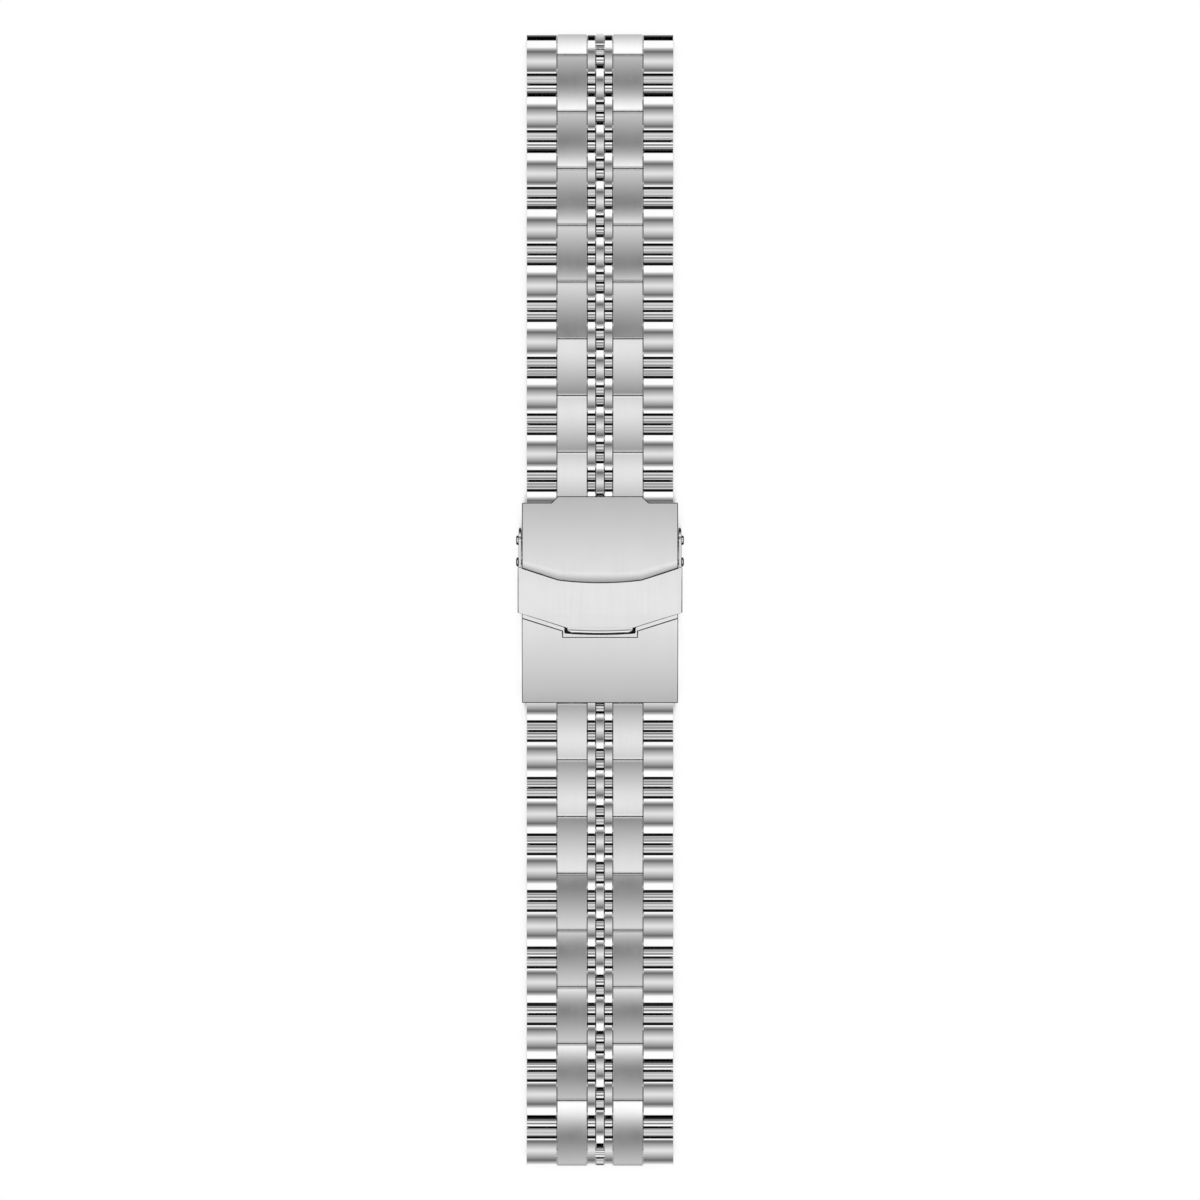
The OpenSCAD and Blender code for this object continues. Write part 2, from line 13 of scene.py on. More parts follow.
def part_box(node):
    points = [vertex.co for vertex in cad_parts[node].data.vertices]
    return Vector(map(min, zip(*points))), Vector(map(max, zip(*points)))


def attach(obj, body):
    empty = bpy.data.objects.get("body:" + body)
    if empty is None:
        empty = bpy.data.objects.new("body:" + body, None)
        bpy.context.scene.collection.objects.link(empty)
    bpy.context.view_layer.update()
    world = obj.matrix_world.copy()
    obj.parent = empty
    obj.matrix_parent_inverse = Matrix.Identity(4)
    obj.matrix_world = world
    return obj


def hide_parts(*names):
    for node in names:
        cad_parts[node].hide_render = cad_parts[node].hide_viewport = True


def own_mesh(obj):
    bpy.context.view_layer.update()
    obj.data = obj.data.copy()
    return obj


bl_info = {
    "name": "Link Watch Bracelet",
    "version": (1, 0, 0),
    "blender": (4, 5, 0),
    "location": "View3D > Sidebar > Bracelet",
    "description": "Builds a steel link bracelet with a folding clasp around its packed solids",
    "category": "Add Mesh",
}

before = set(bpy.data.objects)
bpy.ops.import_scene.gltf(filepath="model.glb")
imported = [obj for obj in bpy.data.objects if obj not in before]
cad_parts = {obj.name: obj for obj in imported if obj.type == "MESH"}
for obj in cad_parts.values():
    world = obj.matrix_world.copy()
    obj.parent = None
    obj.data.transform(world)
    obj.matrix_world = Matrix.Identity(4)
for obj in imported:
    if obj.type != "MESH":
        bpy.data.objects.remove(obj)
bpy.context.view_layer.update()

# Points closer than this are one point
SAME_POINT = 1e-8
# Faces closer than this lie in one plane
SAME_PLANE = 1e-6
# A face whose normal rises more than this is a top
TOP_RISE = 0.9
# A place along the band beyond every link
FAR = 1.0
# Steps of a wide arc, and of the arc on an edge
ARC_STEPS = 24
EDGE_STEPS = 6

# How much wider than its pin a bore is, where the pin is held and where it turns
PRESSED_FIT = 0.00001
FREE_FIT = 0.00005
BORE_SIDES = 32
ROWS_PER_HALF = 8
# Distance of the lug bore from the end of an end link
LUG_BORE_INSET = 0.00154
# How far the web between an end link's columns stays behind their faces, and behind their round ends
WEB_INSET = 0.0001
WEB_SETBACK = 0.0002

# The cover's outer walls and the lip's ends, less this, still count as sides
SIDE_MARGIN = 0.0002
# How far from the arch the middle of a face of the top may lie
TOP_DEPTH = 0.0003
# Place of the finger slot in the cover
SLOT_HALF_WIDTH = 0.0060
SLOT_START, SLOT_END = -0.0059, -0.0045
# How far the finger lip reaches into the flap, and how far from its back an edge still faces it
LIP_OVERLAP = 0.0003
LIP_MARGIN = 0.0001
# Cuts that let the lip bow, and how much of its end radius curls down
LIP_CUTS = 60
LIP_CURL = 0.96

# Shares of the clasp's edge rounding: edges that face each other stay almost sharp
PLAIN_SHARE = 1.0
FACING_SHARE = 0.1
SLOT_SHARE = 0.12
COVER_TOP_SHARE = 1.6
FLAP_TOP_SHARE = 2.2
FLAP_SIDE_SHARE = 0.6

# Sides of a spring's wire, points in one turn of it, and the wire radii that its two ends take up
WIRE_SIDES = 12
TURN_POINTS = 32
SPRING_ENDS = 2.2

POLISHED = ("polished steel", "polished edge")
BRUSHED = ("brushed steel", "brushed edge")
PIN = ("pin steel", "shaded pin shaft")
TURNED = ("pin steel", "pin steel")
BLADE = ("blade steel", "brushed edge")
SATIN = ("satin clasp steel", "clasp edge")


class BandSizes(PropertyGroup):
    """Sizes of the links and their pins"""

    link_height: FloatProperty(
        name="Link Height",
        description="Height of the links without their raised crowns",
        default=0.0032,
        unit="LENGTH",
    )
    crown_rise: FloatProperty(
        name="Crown Rise",
        description="How far a crown stands above the plates",
        default=0.0001,
        unit="LENGTH",
    )
    crown_radius: FloatProperty(
        name="Crown Radius",
        description="Radius of a crown's top, seen from the side",
        default=0.006,
        unit="LENGTH",
    )
    crown_length: FloatProperty(
        name="Crown Length", description="Length of a crown along the band", default=0.00606, unit="LENGTH"
    )
    step_height: FloatProperty(
        name="Step Height",
        description="Height of the step at each end of a crown",
        default=0.0022,
        unit="LENGTH",
    )
    step_fall: FloatProperty(
        name="Step Fall",
        description="Slope of a crown's step towards the link's end",
        default=math.radians(8),
        subtype="ANGLE",
    )
    plate_radius: FloatProperty(
        name="Plate Radius",
        description="Radius of a plate's hollow top, seen from the side",
        default=0.030,
        unit="LENGTH",
    )
    plate_drop: FloatProperty(
        name="Plate Drop",
        description="How far the plates' ends lie below the link height",
        default=0.00015,
        unit="LENGTH",
    )
    outer_width: FloatProperty(
        name="Outer Link Width", description="Width of an outer link", default=0.0045, unit="LENGTH"
    )
    bead_width: FloatProperty(
        name="Bead Width",
        description="Width of a side bead and of a centre bead",
        default=0.00118,
        unit="LENGTH",
    )
    column_gap: FloatProperty(
        name="Column Gap", description="Gap between neighbouring columns", default=0.0001, unit="LENGTH"
    )
    band_width: FloatProperty(
        name="Band Width", description="Width over all seven columns", default=0.022, unit="LENGTH"
    )
    pin_spacing: FloatProperty(
        name="Pin Spacing",
        description="Distance between the two pins of a link",
        default=0.00425,
        unit="LENGTH",
    )
    end_radius: FloatProperty(
        name="End Radius",
        description="Radius of a link's rounded ends, as they look",
        default=0.00208,
        unit="LENGTH",
    )
    body_radius: FloatProperty(
        name="Body Radius",
        description="Radius of the packed links' ends, from which the end links are placed",
        default=0.002,
        unit="LENGTH",
    )
    pin_radius: FloatProperty(
        name="Pin Radius", description="Radius of a hinge pin", default=0.0005, unit="LENGTH"
    )
    pin_sink: FloatProperty(
        name="Pin Sink",
        description="How far a pin's ends lie below the sides",
        default=0.00015,
        unit="LENGTH",
    )
    lug_bore_radius: FloatProperty(
        name="Lug Bore Radius",
        description="Radius of the bores for the watch's spring bars",
        default=0.0009,
        unit="LENGTH",
    )
    web_height: FloatProperty(
        name="Web Height",
        description="Height up to which an end link's columns are one piece",
        default=0.002,
        unit="LENGTH",
    )
    edge_round: FloatProperty(
        name="Edge Rounding",
        description="Width of the rounded edges of the links",
        default=0.00007,
        unit="LENGTH",
    )
    crown_edge: FloatProperty(
        name="Crown Edge",
        description="Radius of the edge at each end of a crown",
        default=0.00077,
        unit="LENGTH",
    )
    step_edge: FloatProperty(
        name="Step Edge",
        description="Radius where a step drops to the link's end",
        default=0.00028,
        unit="LENGTH",
    )
    step_swell: FloatProperty(
        name="Step Swell",
        description="Slope of the two shallow waves on a step",
        default=math.radians(11),
        subtype="ANGLE",
    )
    plate_edge: FloatProperty(
        name="Plate Edge", description="Radius of the plates' top edges", default=0.0001, unit="LENGTH"
    )
    plate_reach: FloatProperty(
        name="Plate Reach",
        description="How far a plate's face reaches past its rounded end",
        default=0.0,
        unit="LENGTH",
    )


class ClaspSizes(PropertyGroup):
    """Sizes of the clasp's small parts"""

    edge_round: FloatProperty(
        name="Edge Rounding",
        description="Width of the rounded edges of the clasp",
        default=0.00013,
        unit="LENGTH",
    )
    head_radius: FloatProperty(
        name="Head Radius",
        description="Radius of a flap pivot's domed head",
        default=0.00073,
        unit="LENGTH",
    )
    head_height: FloatProperty(
        name="Head Height",
        description="Thickness of a flap pivot's domed head",
        default=0.00037,
        unit="LENGTH",
    )
    head_place: FloatProperty(
        name="Head Place",
        description="Distance from the middle to the inner face of a pivot's head",
        default=0.0122,
        unit="LENGTH",
    )
    shank_radius: FloatProperty(
        name="Shank Radius", description="Radius of a flap pivot's shank", default=0.0004, unit="LENGTH"
    )
    flange_radius: FloatProperty(
        name="Flange Radius", description="Radius of a pivot's inner flange", default=0.0006, unit="LENGTH"
    )
    collar_place: FloatProperty(
        name="Collar Place",
        description="Distance from the middle to the inner flanges",
        default=0.0107,
        unit="LENGTH",
    )
    collar_thickness: FloatProperty(
        name="Collar Thickness", description="Thickness of the inner flanges", default=0.0004, unit="LENGTH"
    )
    pivot_place: FloatVectorProperty(
        name="Pivot Place",
        description="Place of the flap's pivots along the band and above the floor",
        size=2,
        default=(0.00895, 0.0026),
        unit="LENGTH",
    )
    wire_radius: FloatProperty(
        name="Wire Radius", description="Radius of a button spring's wire", default=0.0001, unit="LENGTH"
    )
    coil_radius: FloatProperty(
        name="Coil Radius",
        description="Radius from a spring's axis to its wire",
        default=0.00045,
        unit="LENGTH",
    )
    button_travel: FloatProperty(
        name="Button Travel",
        description="How much shorter a pressed button makes its spring",
        default=0.0006,
        unit="LENGTH",
    )
    coil_turns: IntProperty(
        name="Coil Turns", description="Turns of a button spring", default=5, subtype="UNSIGNED"
    )


class PadSizes(PropertyGroup):
    """Sizes of the clasp's arched top, the upper pad's lower edge and the finger lip"""

    arch_radius: FloatProperty(
        name="Arch Radius",
        description="Radius of the arched top along the band",
        default=0.130,
        unit="LENGTH",
    )
    arch_top: FloatProperty(
        name="Arch Top", description="Height of the cover at its middle", default=0.00546, unit="LENGTH"
    )
    edge_middle: FloatProperty(
        name="Edge Middle",
        description="Place of the pad's edge at its middle",
        default=0.00262,
        unit="LENGTH",
    )
    corner: FloatVectorProperty(
        name="Corner",
        description="End of the bowed middle of the pad's edge",
        size=2,
        default=(0.0062, 0.00302),
        unit="LENGTH",
    )
    side: FloatVectorProperty(
        name="Side",
        description="End of the pad's edge at the cover's side",
        size=2,
        default=(0.01175, 0.00486),
        unit="LENGTH",
    )
    roll_middle: FloatProperty(
        name="Roll Middle",
        description="How far from its edge the pad begins to fall away in its middle",
        default=0.00165,
        unit="LENGTH",
    )
    roll_side: FloatProperty(
        name="Roll Side",
        description="How far from its edge the pad begins to fall away at its sides",
        default=0.0011,
        unit="LENGTH",
    )
    roll_slope: FloatProperty(
        name="Roll Slope", description="Slope that the pad ends with", default=0.25, subtype="FACTOR"
    )
    lip_width: FloatProperty(
        name="Lip Width", description="Width of the finger lip", default=0.01072, unit="LENGTH"
    )
    lip_back: FloatProperty(
        name="Lip Back", description="Place where the lip leaves the flap", default=-0.00412, unit="LENGTH"
    )
    lip_centre: FloatVectorProperty(
        name="Lip Centre",
        description="Centre of the lip's round nose, seen from the side",
        size=2,
        default=(-0.00442, 0.00435),
        unit="LENGTH",
    )
    lip_radius: FloatProperty(
        name="Lip Radius", description="Radius of the lip's round nose", default=0.00094, unit="LENGTH"
    )
    lip_floor: FloatProperty(
        name="Lip Floor", description="Height of the lip's underside", default=0.00486, unit="LENGTH"
    )
    lip_edge: FloatProperty(
        name="Lip Edge",
        description="Radius of the lip's rounded side edges",
        default=0.00012,
        unit="LENGTH",
    )
    lip_end_radius: FloatProperty(
        name="Lip End Radius",
        description="Radius with which the lip's ends curve down",
        default=0.001,
        unit="LENGTH",
    )
    lip_bow: FloatProperty(
        name="Lip Bow",
        description="How far the lip's ends lie behind its middle",
        default=0.00022,
        unit="LENGTH",
    )


class Finishes(PropertyGroup):
    """Colours and surfaces of the steel"""

    steel: FloatVectorProperty(
        name="Steel",
        description="Colour of the polished steel",
        subtype="COLOR",
        size=3,
        default=(0.83, 0.83, 0.835),
    )
    satin: FloatVectorProperty(
        name="Satin Steel",
        description="Colour of the brushed steel",
        subtype="COLOR",
        size=3,
        default=(0.9, 0.9, 0.9),
    )
    blade: FloatVectorProperty(
        name="Blade Steel",
        description="Colour of the blades",
        subtype="COLOR",
        size=3,
        default=(0.78, 0.78, 0.79),
    )
    clasp: FloatVectorProperty(
        name="Clasp Steel",
        description="Colour of the clasp's satin top",
        subtype="COLOR",
        size=3,
        default=(0.97, 0.97, 0.97),
    )
    # Painted shade: the pin shafts show only in the narrow gaps between the links, so their colour is painted
    # dark for the shade there
    shaft: FloatVectorProperty(
        name="Pin Shafts",
        description="Colour of the hinge pins between the links",
        subtype="COLOR",
        size=3,
        default=(0.1, 0.1, 0.1),
    )
    polish: FloatProperty(
        name="Polish", description="Roughness of the polished steel", default=0.03, subtype="FACTOR"
    )
    brushing: FloatProperty(
        name="Brushing", description="Roughness of the brushed steel", default=0.13, subtype="FACTOR"
    )
    grain_spacing: FloatProperty(
        name="Grain Spacing", description="Distance between the brush lines", default=0.00006, unit="LENGTH"
    )
    grain_length: FloatProperty(
        name="Grain Length", description="Length of the brush lines", default=0.006, unit="LENGTH"
    )


class StudioSizes(PropertyGroup):
    """Camera, light tent and floor"""

    camera_height: FloatProperty(
        name="Camera Height",
        description="Height of the camera above the band's underside",
        default=0.45,
        unit="LENGTH",
    )
    picture_width: FloatProperty(
        name="Picture Width",
        description="Width of the picture at the links' tops",
        default=0.17959,
        unit="LENGTH",
    )
    tent_radius: FloatProperty(
        name="Tent Radius", description="Radius of the light tent over the band", default=0.5, unit="LENGTH"
    )
    tent_length: FloatProperty(
        name="Tent Length",
        description="Length of the light tent across the band",
        default=1.3,
        unit="LENGTH",
    )
    floor_drop: FloatProperty(
        name="Floor Drop",
        description="Gap between the floor and the band's underside",
        default=0.0001,
        unit="LENGTH",
    )
    floor_size: FloatProperty(
        name="Floor Size",
        description="Half the width of the white floor, a triangle",
        default=3.0,
        unit="LENGTH",
    )


def add_object(name, mesh):
    """A new object at the origin that shows the mesh."""
    obj = bpy.data.objects.new(name, mesh)
    bpy.context.scene.collection.objects.link(obj)
    return obj


def settle(obj):
    """Applies the object's modifiers and leaves a plain mesh."""
    graph = bpy.context.evaluated_depsgraph_get()
    mesh = bpy.data.meshes.new_from_object(obj.evaluated_get(graph), depsgraph=graph)
    mesh.name = obj.name
    obj.modifiers.clear()
    obj.data = mesh
    return obj


def mesh_of(name, bm):
    """A mesh made from bm, which is freed."""
    mesh = bpy.data.meshes.new(name)
    bm.to_mesh(mesh)
    bm.free()
    return mesh


def shade(mesh):
    """Makes every face smooth."""
    mesh.polygons.foreach_set("use_smooth", [True] * len(mesh.polygons))


def arc(y, z, radius, start, end, steps):
    """Points on a circle, from one angle to another."""
    points = []
    for i in range(steps + 1):
        angle = start + (end - start) * i / steps
        points.append((y + radius * math.cos(angle), z + radius * math.sin(angle)))
    return points


def mirrored(points):
    """The right half of a side view and its mirror image, as one outline."""
    left = [(-y, z) for y, z in reversed(points)]
    outline = []
    for point in points + left:
        if not outline or math.dist(point, outline[-1]) > SAME_POINT:
            outline.append(point)
    if math.dist(outline[0], outline[-1]) < SAME_POINT:
        outline.pop()
    return outline


def link_end(s, top_angle, steps=16):
    """Rounded end of a link, from the underside up to an angle above its pin."""
    low = -math.asin(s.link_height / 2 / s.end_radius)
    return arc(s.pin_spacing / 2, s.link_height / 2, s.end_radius, low, top_angle, steps)


def swell(start, end, slope, steps=8):
    """Points between two others, on an arc that leaves the straight line at that slope."""
    chord = Vector((end[0] - start[0], end[1] - start[1]))
    up = Vector((-chord.y, chord.x)).normalized()
    if up.y < 0:
        up.negate()
    radius = chord.length / 2 / math.sin(slope)
    points = []
    for i in range(1, steps + 1):
        along = chord.length * (i / steps - 0.5)
        rise = math.sqrt(radius * radius - along * along) - radius * math.cos(slope)
        points.append(tuple(Vector(start) + chord * (i / steps) + up * rise))
    return points


def meeting_angle(s, inset, fall, halvings=40):
    """Angle above the pin at which a circle inset in the link's end meets the step inset by as much."""
    half = s.crown_length / 2
    drop = inset * math.sqrt(1 + fall * fall)
    low, high = 0.0, math.pi / 2
    for _ in range(halvings):
        mid = (low + high) / 2
        y = s.pin_spacing / 2 + (s.end_radius - inset) * math.cos(mid)
        z = s.link_height / 2 + (s.end_radius - inset) * math.sin(mid)
        if z > s.step_height - fall * (y - half) - drop:
            high = mid
        else:
            low = mid
    return low, (y, z)


def crown_outline(s):
    """Side view of an outer link or a bead."""
    half = s.crown_length / 2
    angle, (y, z) = meeting_angle(s, s.step_edge, math.tan(s.step_fall))
    right = link_end(s, angle)
    right += arc(y, z, s.step_edge, angle, math.pi / 2 - s.step_fall, EDGE_STEPS)[1:]
    outer, inner = right[-1], (half, s.step_height)
    middle = ((outer[0] + inner[0]) / 2, (outer[1] + inner[1]) / 2)
    right += swell(outer, middle, s.step_swell) + swell(middle, inner, s.step_swell)
    centre = s.link_height + s.crown_rise - s.crown_radius
    reach = s.crown_radius - s.crown_edge
    rise = math.sqrt(reach * reach - (half - s.crown_edge) ** 2)
    turn = math.atan2(rise, half - s.crown_edge)
    right += arc(half - s.crown_edge, centre + rise, s.crown_edge, 0.0, turn, EDGE_STEPS)
    right += arc(0, centre, s.crown_radius, turn, math.pi / 2, ARC_STEPS)[1:]
    return mirrored(right)


def hollow_top(s, half, centre_y, steps=32):
    """A plate's face from its right end to its left end: two rounded edges and the hollow between."""
    rim = s.link_height - s.plate_drop
    centre = rim + math.sqrt(s.plate_radius**2 - half * half)
    edge = s.plate_edge
    reach = s.plate_radius + edge
    rise = math.sqrt(reach * reach - (half - edge) ** 2)
    turn = math.atan2(rise, half - edge)
    side = arc(half - edge, centre - rise, edge, 0.0, math.pi - turn, EDGE_STEPS)
    hollow = arc(0.0, centre, s.plate_radius, -turn, turn - math.pi, steps)[1:-1]
    other = [(-y, z) for y, z in reversed(side)]
    return [(y + centre_y, z) for y, z in side + hollow + other]


def plate_outline(s):
    """Side view of a brushed plate."""
    half = s.pin_spacing / 2 + s.end_radius + s.plate_reach
    right = link_end(s, 0.0)
    left = [(-y, z) for y, z in reversed(right)]
    return right + hollow_top(s, half, 0.0) + left


def between(outline, low, high, shift=0.0):
    """The part of an outline between two places along the band, moved by shift first."""
    points = [(y + shift, z) for y, z in outline]
    for limit, keep in ((low, 1), (high, -1)):
        cut = []
        for i, point in enumerate(points):
            before = points[i - 1]
            inside = (point[0] - limit) * keep >= 0
            was_inside = (before[0] - limit) * keep >= 0
            if inside != was_inside:
                share = (limit - before[0]) / (point[0] - before[0])
                cut.append((limit, before[1] + share * (point[1] - before[1])))
            if inside:
                cut.append(point)
        points = cut
    return points


def corner_normals(outline, sharp=math.radians(24)):
    """For each edge of an outline, the outward directions at its two ends, split at sharp corners."""
    count = len(outline)
    edges = []
    for i, (y, z) in enumerate(outline):
        nxt = outline[(i + 1) % count]
        edges.append(Vector((nxt[1] - z, y - nxt[0])).normalized())
    area = sum(outline[i - 1][0] * outline[i][1] - outline[i][0] * outline[i - 1][1] for i in range(count))
    if area < 0:
        edges = [-edge for edge in edges]
    smooth = []
    for i in range(count):
        before, after = edges[i - 1], edges[i]
        smooth.append((before + after).normalized())
    directions = []
    limit = math.cos(sharp)
    for i in range(count):
        j = (i + 1) % count
        start = smooth[i] if edges[i - 1].dot(edges[i]) > limit else edges[i]
        end = smooth[j] if edges[i].dot(edges[j]) > limit else edges[i]
        directions.append((start, end))
    return smooth, directions


def ring_of(y, z, radius):
    """Points round a bore."""
    turns = [math.tau * i / BORE_SIDES for i in range(BORE_SIDES)]
    return [(y + radius * math.cos(turn), z + radius * math.sin(turn)) for turn in turns]


def slab(name, outline, centre, width, bores, round_off, materials, segments=3):
    """A solid with that side view, rounded side edges and round bores, centred there across the band."""
    verts, faces, normals, slots = [], [], [], []
    inward, directions = corner_normals(outline)
    directions = [[Vector((0.0, d.x, d.y)) for d in pair_of] for pair_of in directions]
    into_bore = [Vector((0.0, -y, -z)) for y, z in ring_of(0.0, 0.0, 1.0)]
    count = len(outline)

    def ring(points, x):
        verts.extend((x, y, z) for y, z in points)
        return len(verts) - len(points)

    def face(corners, dirs, slot):
        a, b, c = (Vector(verts[i]) for i in corners[:3])
        if (b - a).cross(c - a).dot(sum(dirs, Vector())) < 0:
            corners, dirs = corners[::-1], dirs[::-1]
        faces.append(corners)
        normals.extend(dirs)
        slots.append(slot)

    ends = []
    for side in (-1, 1):
        rings = []
        for k in range(segments + 1):
            turn = math.pi / 2 * k / segments
            inset = round_off * (1 - math.cos(turn))
            points = [(y - n.x * inset, z - n.y * inset) for (y, z), n in zip(outline, inward)]
            x = centre + side * (width / 2 - round_off * (1 - math.sin(turn)))
            rings.append((ring(points, x), turn, points))
        across = Vector((side, 0.0, 0.0))
        for (low, turn, _), (high, turn2, _) in zip(rings, rings[1:]):
            for i in range(count):
                j = (i + 1) % count
                start, end = directions[i]
                corners = ((start, turn), (end, turn), (end, turn2), (start, turn2))
                lean = [d * math.cos(t) + across * math.sin(t) for d, t in corners]
                face([low + i, low + j, high + j, high + i], lean, 1)
        loops = [[Vector((y, z, 0.0)) for y, z in rings[-1][2]]]
        starts = [rings[-1][0]]
        for radius, y, z in bores:
            circle = ring_of(y, z, radius)
            starts.append(ring(circle, centre + side * width / 2))
            loops.append([Vector((y, z, 0.0)) for y, z in circle])
        flat = [start + i for start, loop in zip(starts, loops) for i in range(len(loop))]
        for triangle in tessellate_polygon(loops):
            face([flat[i] for i in triangle], [across] * 3, 0)
        ends.append((rings[0][0], starts[1:]))
    (left, left_bores), (right, right_bores) = ends
    tubes = [(left, right, directions)]
    around_bore = [(into_bore[i], into_bore[(i + 1) % BORE_SIDES]) for i in range(BORE_SIDES)]
    tubes += [(a, b, around_bore) for a, b in zip(left_bores, right_bores)]
    for left, right, around in tubes:
        for i, (start, end) in enumerate(around):
            j = (i + 1) % len(around)
            face([left + i, left + j, right + j, right + i], [start, end, end, start], 0)
    mesh = bpy.data.meshes.new(name)
    mesh.from_pydata(verts, [], faces)
    mesh.polygons.foreach_set("material_index", slots)
    shading = mesh.attributes.new("shading", "FLOAT_VECTOR", "CORNER")
    shading.data.foreach_set("vector", [c for n in normals for c in n.normalized()])
    return wear(add_object(name, mesh), *materials)


def shine(obj):
    """Gives the piece the normals that its slabs were made with."""
    mesh = obj.data
    shade(mesh)
    shading = mesh.attributes["shading"]
    values = [0.0] * (3 * len(mesh.loops))
    shading.data.foreach_get("vector", values)
    mesh.attributes.remove(shading)
    mesh.normals_split_custom_set([values[i : i + 3] for i in range(0, len(values), 3)])
    return obj


def add_lathe(bm, rings, y, z, sides=48):
    """Adds a turned solid about an axis across the band; rings are places and radii."""
    loops = []
    for x, radius in rings:
        loop = []
        for i in range(sides):
            angle = 2 * math.pi * i / sides
            loop.append(bm.verts.new((x, y + radius * math.cos(angle), z + radius * math.sin(angle))))
        loops.append(loop)
    forward = rings[-1][0] > rings[0][0]
    for a, b in zip(loops, loops[1:]):
        for i in range(sides):
            j = (i + 1) % sides
            corners = (a[i], a[j], b[j], b[i])
            bm.faces.new(corners if not forward else tuple(reversed(corners)))
    first, last = loops[0], loops[-1]
    bm.faces.new(first if not forward else list(reversed(first)))
    bm.faces.new(list(reversed(last)) if not forward else last)


def soften(obj, width, share=None, sharp=math.radians(38), segments=2):
    """Rounds the sharp edges, each by its share of the width, and gives them the second material."""
    bevel = obj.modifiers.new("Edges", "BEVEL")
    bevel.width = width
    bevel.segments = segments
    bevel.limit_method = "ANGLE"
    bevel.angle_limit = sharp
    if share:
        bm = bmesh.new()
        bm.from_mesh(obj.data)
        weights = bm.edges.layers.float.new("bevel_weight_edge")
        for edge in bm.edges:
            if edge.is_manifold and edge.calc_face_angle() > sharp:
                edge[weights] = share((edge.verts[0].co + edge.verts[1].co) / 2)
        bm.to_mesh(obj.data)
        bm.free()
        bevel.limit_method = "WEIGHT"
    bevel.material = 1
    bevel.use_clamp_overlap = False
    return settle(obj)


def weighted(obj, weight=80):
    """Normals that follow the large faces."""
    shade(obj.data)
    normals = obj.modifiers.new("Normals", "WEIGHTED_NORMAL")
    normals.keep_sharp = True
    normals.weight = weight
    return settle(obj)


def wear(obj, *names):
    """Gives the piece these materials."""
    obj.data.materials.clear()
    for name in names:
        obj.data.materials.append(bpy.data.materials[name])
    return obj


def fit(obj, body, slot, node):
    """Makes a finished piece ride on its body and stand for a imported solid."""
    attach(obj, body)
    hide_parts(node)


class Nodes:
    """Short calls for making nodes."""

    def __init__(self, tree):
        self.tree = tree

    def add(self, kind, values=None, **settings):
        """A node with its settings and its input values or links."""
        node = self.tree.nodes.new(kind)
        for name, value in settings.items():
            setattr(node, name, value)
        for key, value in (values or {}).items():
            socket = node.inputs[key]
            if isinstance(value, bpy.types.NodeSocket):
                self.tree.links.new(value, socket)
            else:
                socket.default_value = value
        return node

    def math(self, operation, a, b=0.0, c=0.0):
        """The output of a math node."""
        return self.add("ShaderNodeMath", {0: a, 1: b, 2: c}, operation=operation).outputs[0]

    def ease(self, value, start, end, low, high, **settings):
        """The value, brought from one range to another."""
        values = {0: value, 1: start, 2: end, 3: low, 4: high}
        return self.add("ShaderNodeMapRange", values, **settings).outputs[0]

    def mix(self, share, first, second):
        """A mixed colour."""
        return self.add("ShaderNodeMix", {0: share, 6: first, 7: second}, data_type="RGBA").outputs[2]


def node_group(kind, name, inputs, outputs):
    """A new node group with named inputs and outputs, short calls for it, and what comes in."""
    tree = bpy.data.node_groups.new(name, kind)
    for label, socket, *value in inputs:
        made = tree.interface.new_socket(label, in_out="INPUT", socket_type=f"NodeSocket{socket}")
        if value:
            made.default_value = value[0]
    for label, socket in outputs:
        tree.interface.new_socket(label, in_out="OUTPUT", socket_type=f"NodeSocket{socket}")
    n = Nodes(tree)
    return tree, n, n.add("NodeGroupInput").outputs


def repeat_tree():
    """Geometry nodes that repeat a piece along a line."""
    name = "Repeat Along Line"
    if name in bpy.data.node_groups:
        return bpy.data.node_groups[name]
    inputs = (
        ("Piece", "Geometry"),
        ("First Place", "Vector"),
        ("Spacing", "Vector"),
        ("Count", "Int"),
        ("Face Material", "Material"),
        ("Edge Material", "Material"),
    )
    tree, n, given = node_group("GeometryNodeTree", name, inputs, [("Pieces", "Geometry")])
    line = n.add(
        "GeometryNodeMeshLine",
        {"Count": given["Count"], "Start Location": given["First Place"], "Offset": given["Spacing"]},
        mode="OFFSET",
    )
    copies = n.add(
        "GeometryNodeInstanceOnPoints", {"Points": line.outputs["Mesh"], "Instance": given["Piece"]}
    )
    real = n.add("GeometryNodeRealizeInstances", {"Geometry": copies.outputs["Instances"]})
    slot = n.add("GeometryNodeInputMaterialIndex").outputs[0]
    is_edge = n.add("FunctionNodeCompare", {2: slot, 3: 1}, data_type="INT", operation="EQUAL").outputs[0]
    is_face = n.add("FunctionNodeBooleanMath", {0: is_edge}, operation="NOT").outputs[0]
    painted = real.outputs[0]
    for chosen, material in ((is_face, given["Face Material"]), (is_edge, given["Edge Material"])):
        paint = {"Geometry": painted, "Selection": chosen, "Material": material}
        painted = n.add("GeometryNodeSetMaterial", paint).outputs[0]
    n.add("NodeGroupOutput", {"Pieces": painted})
    return tree


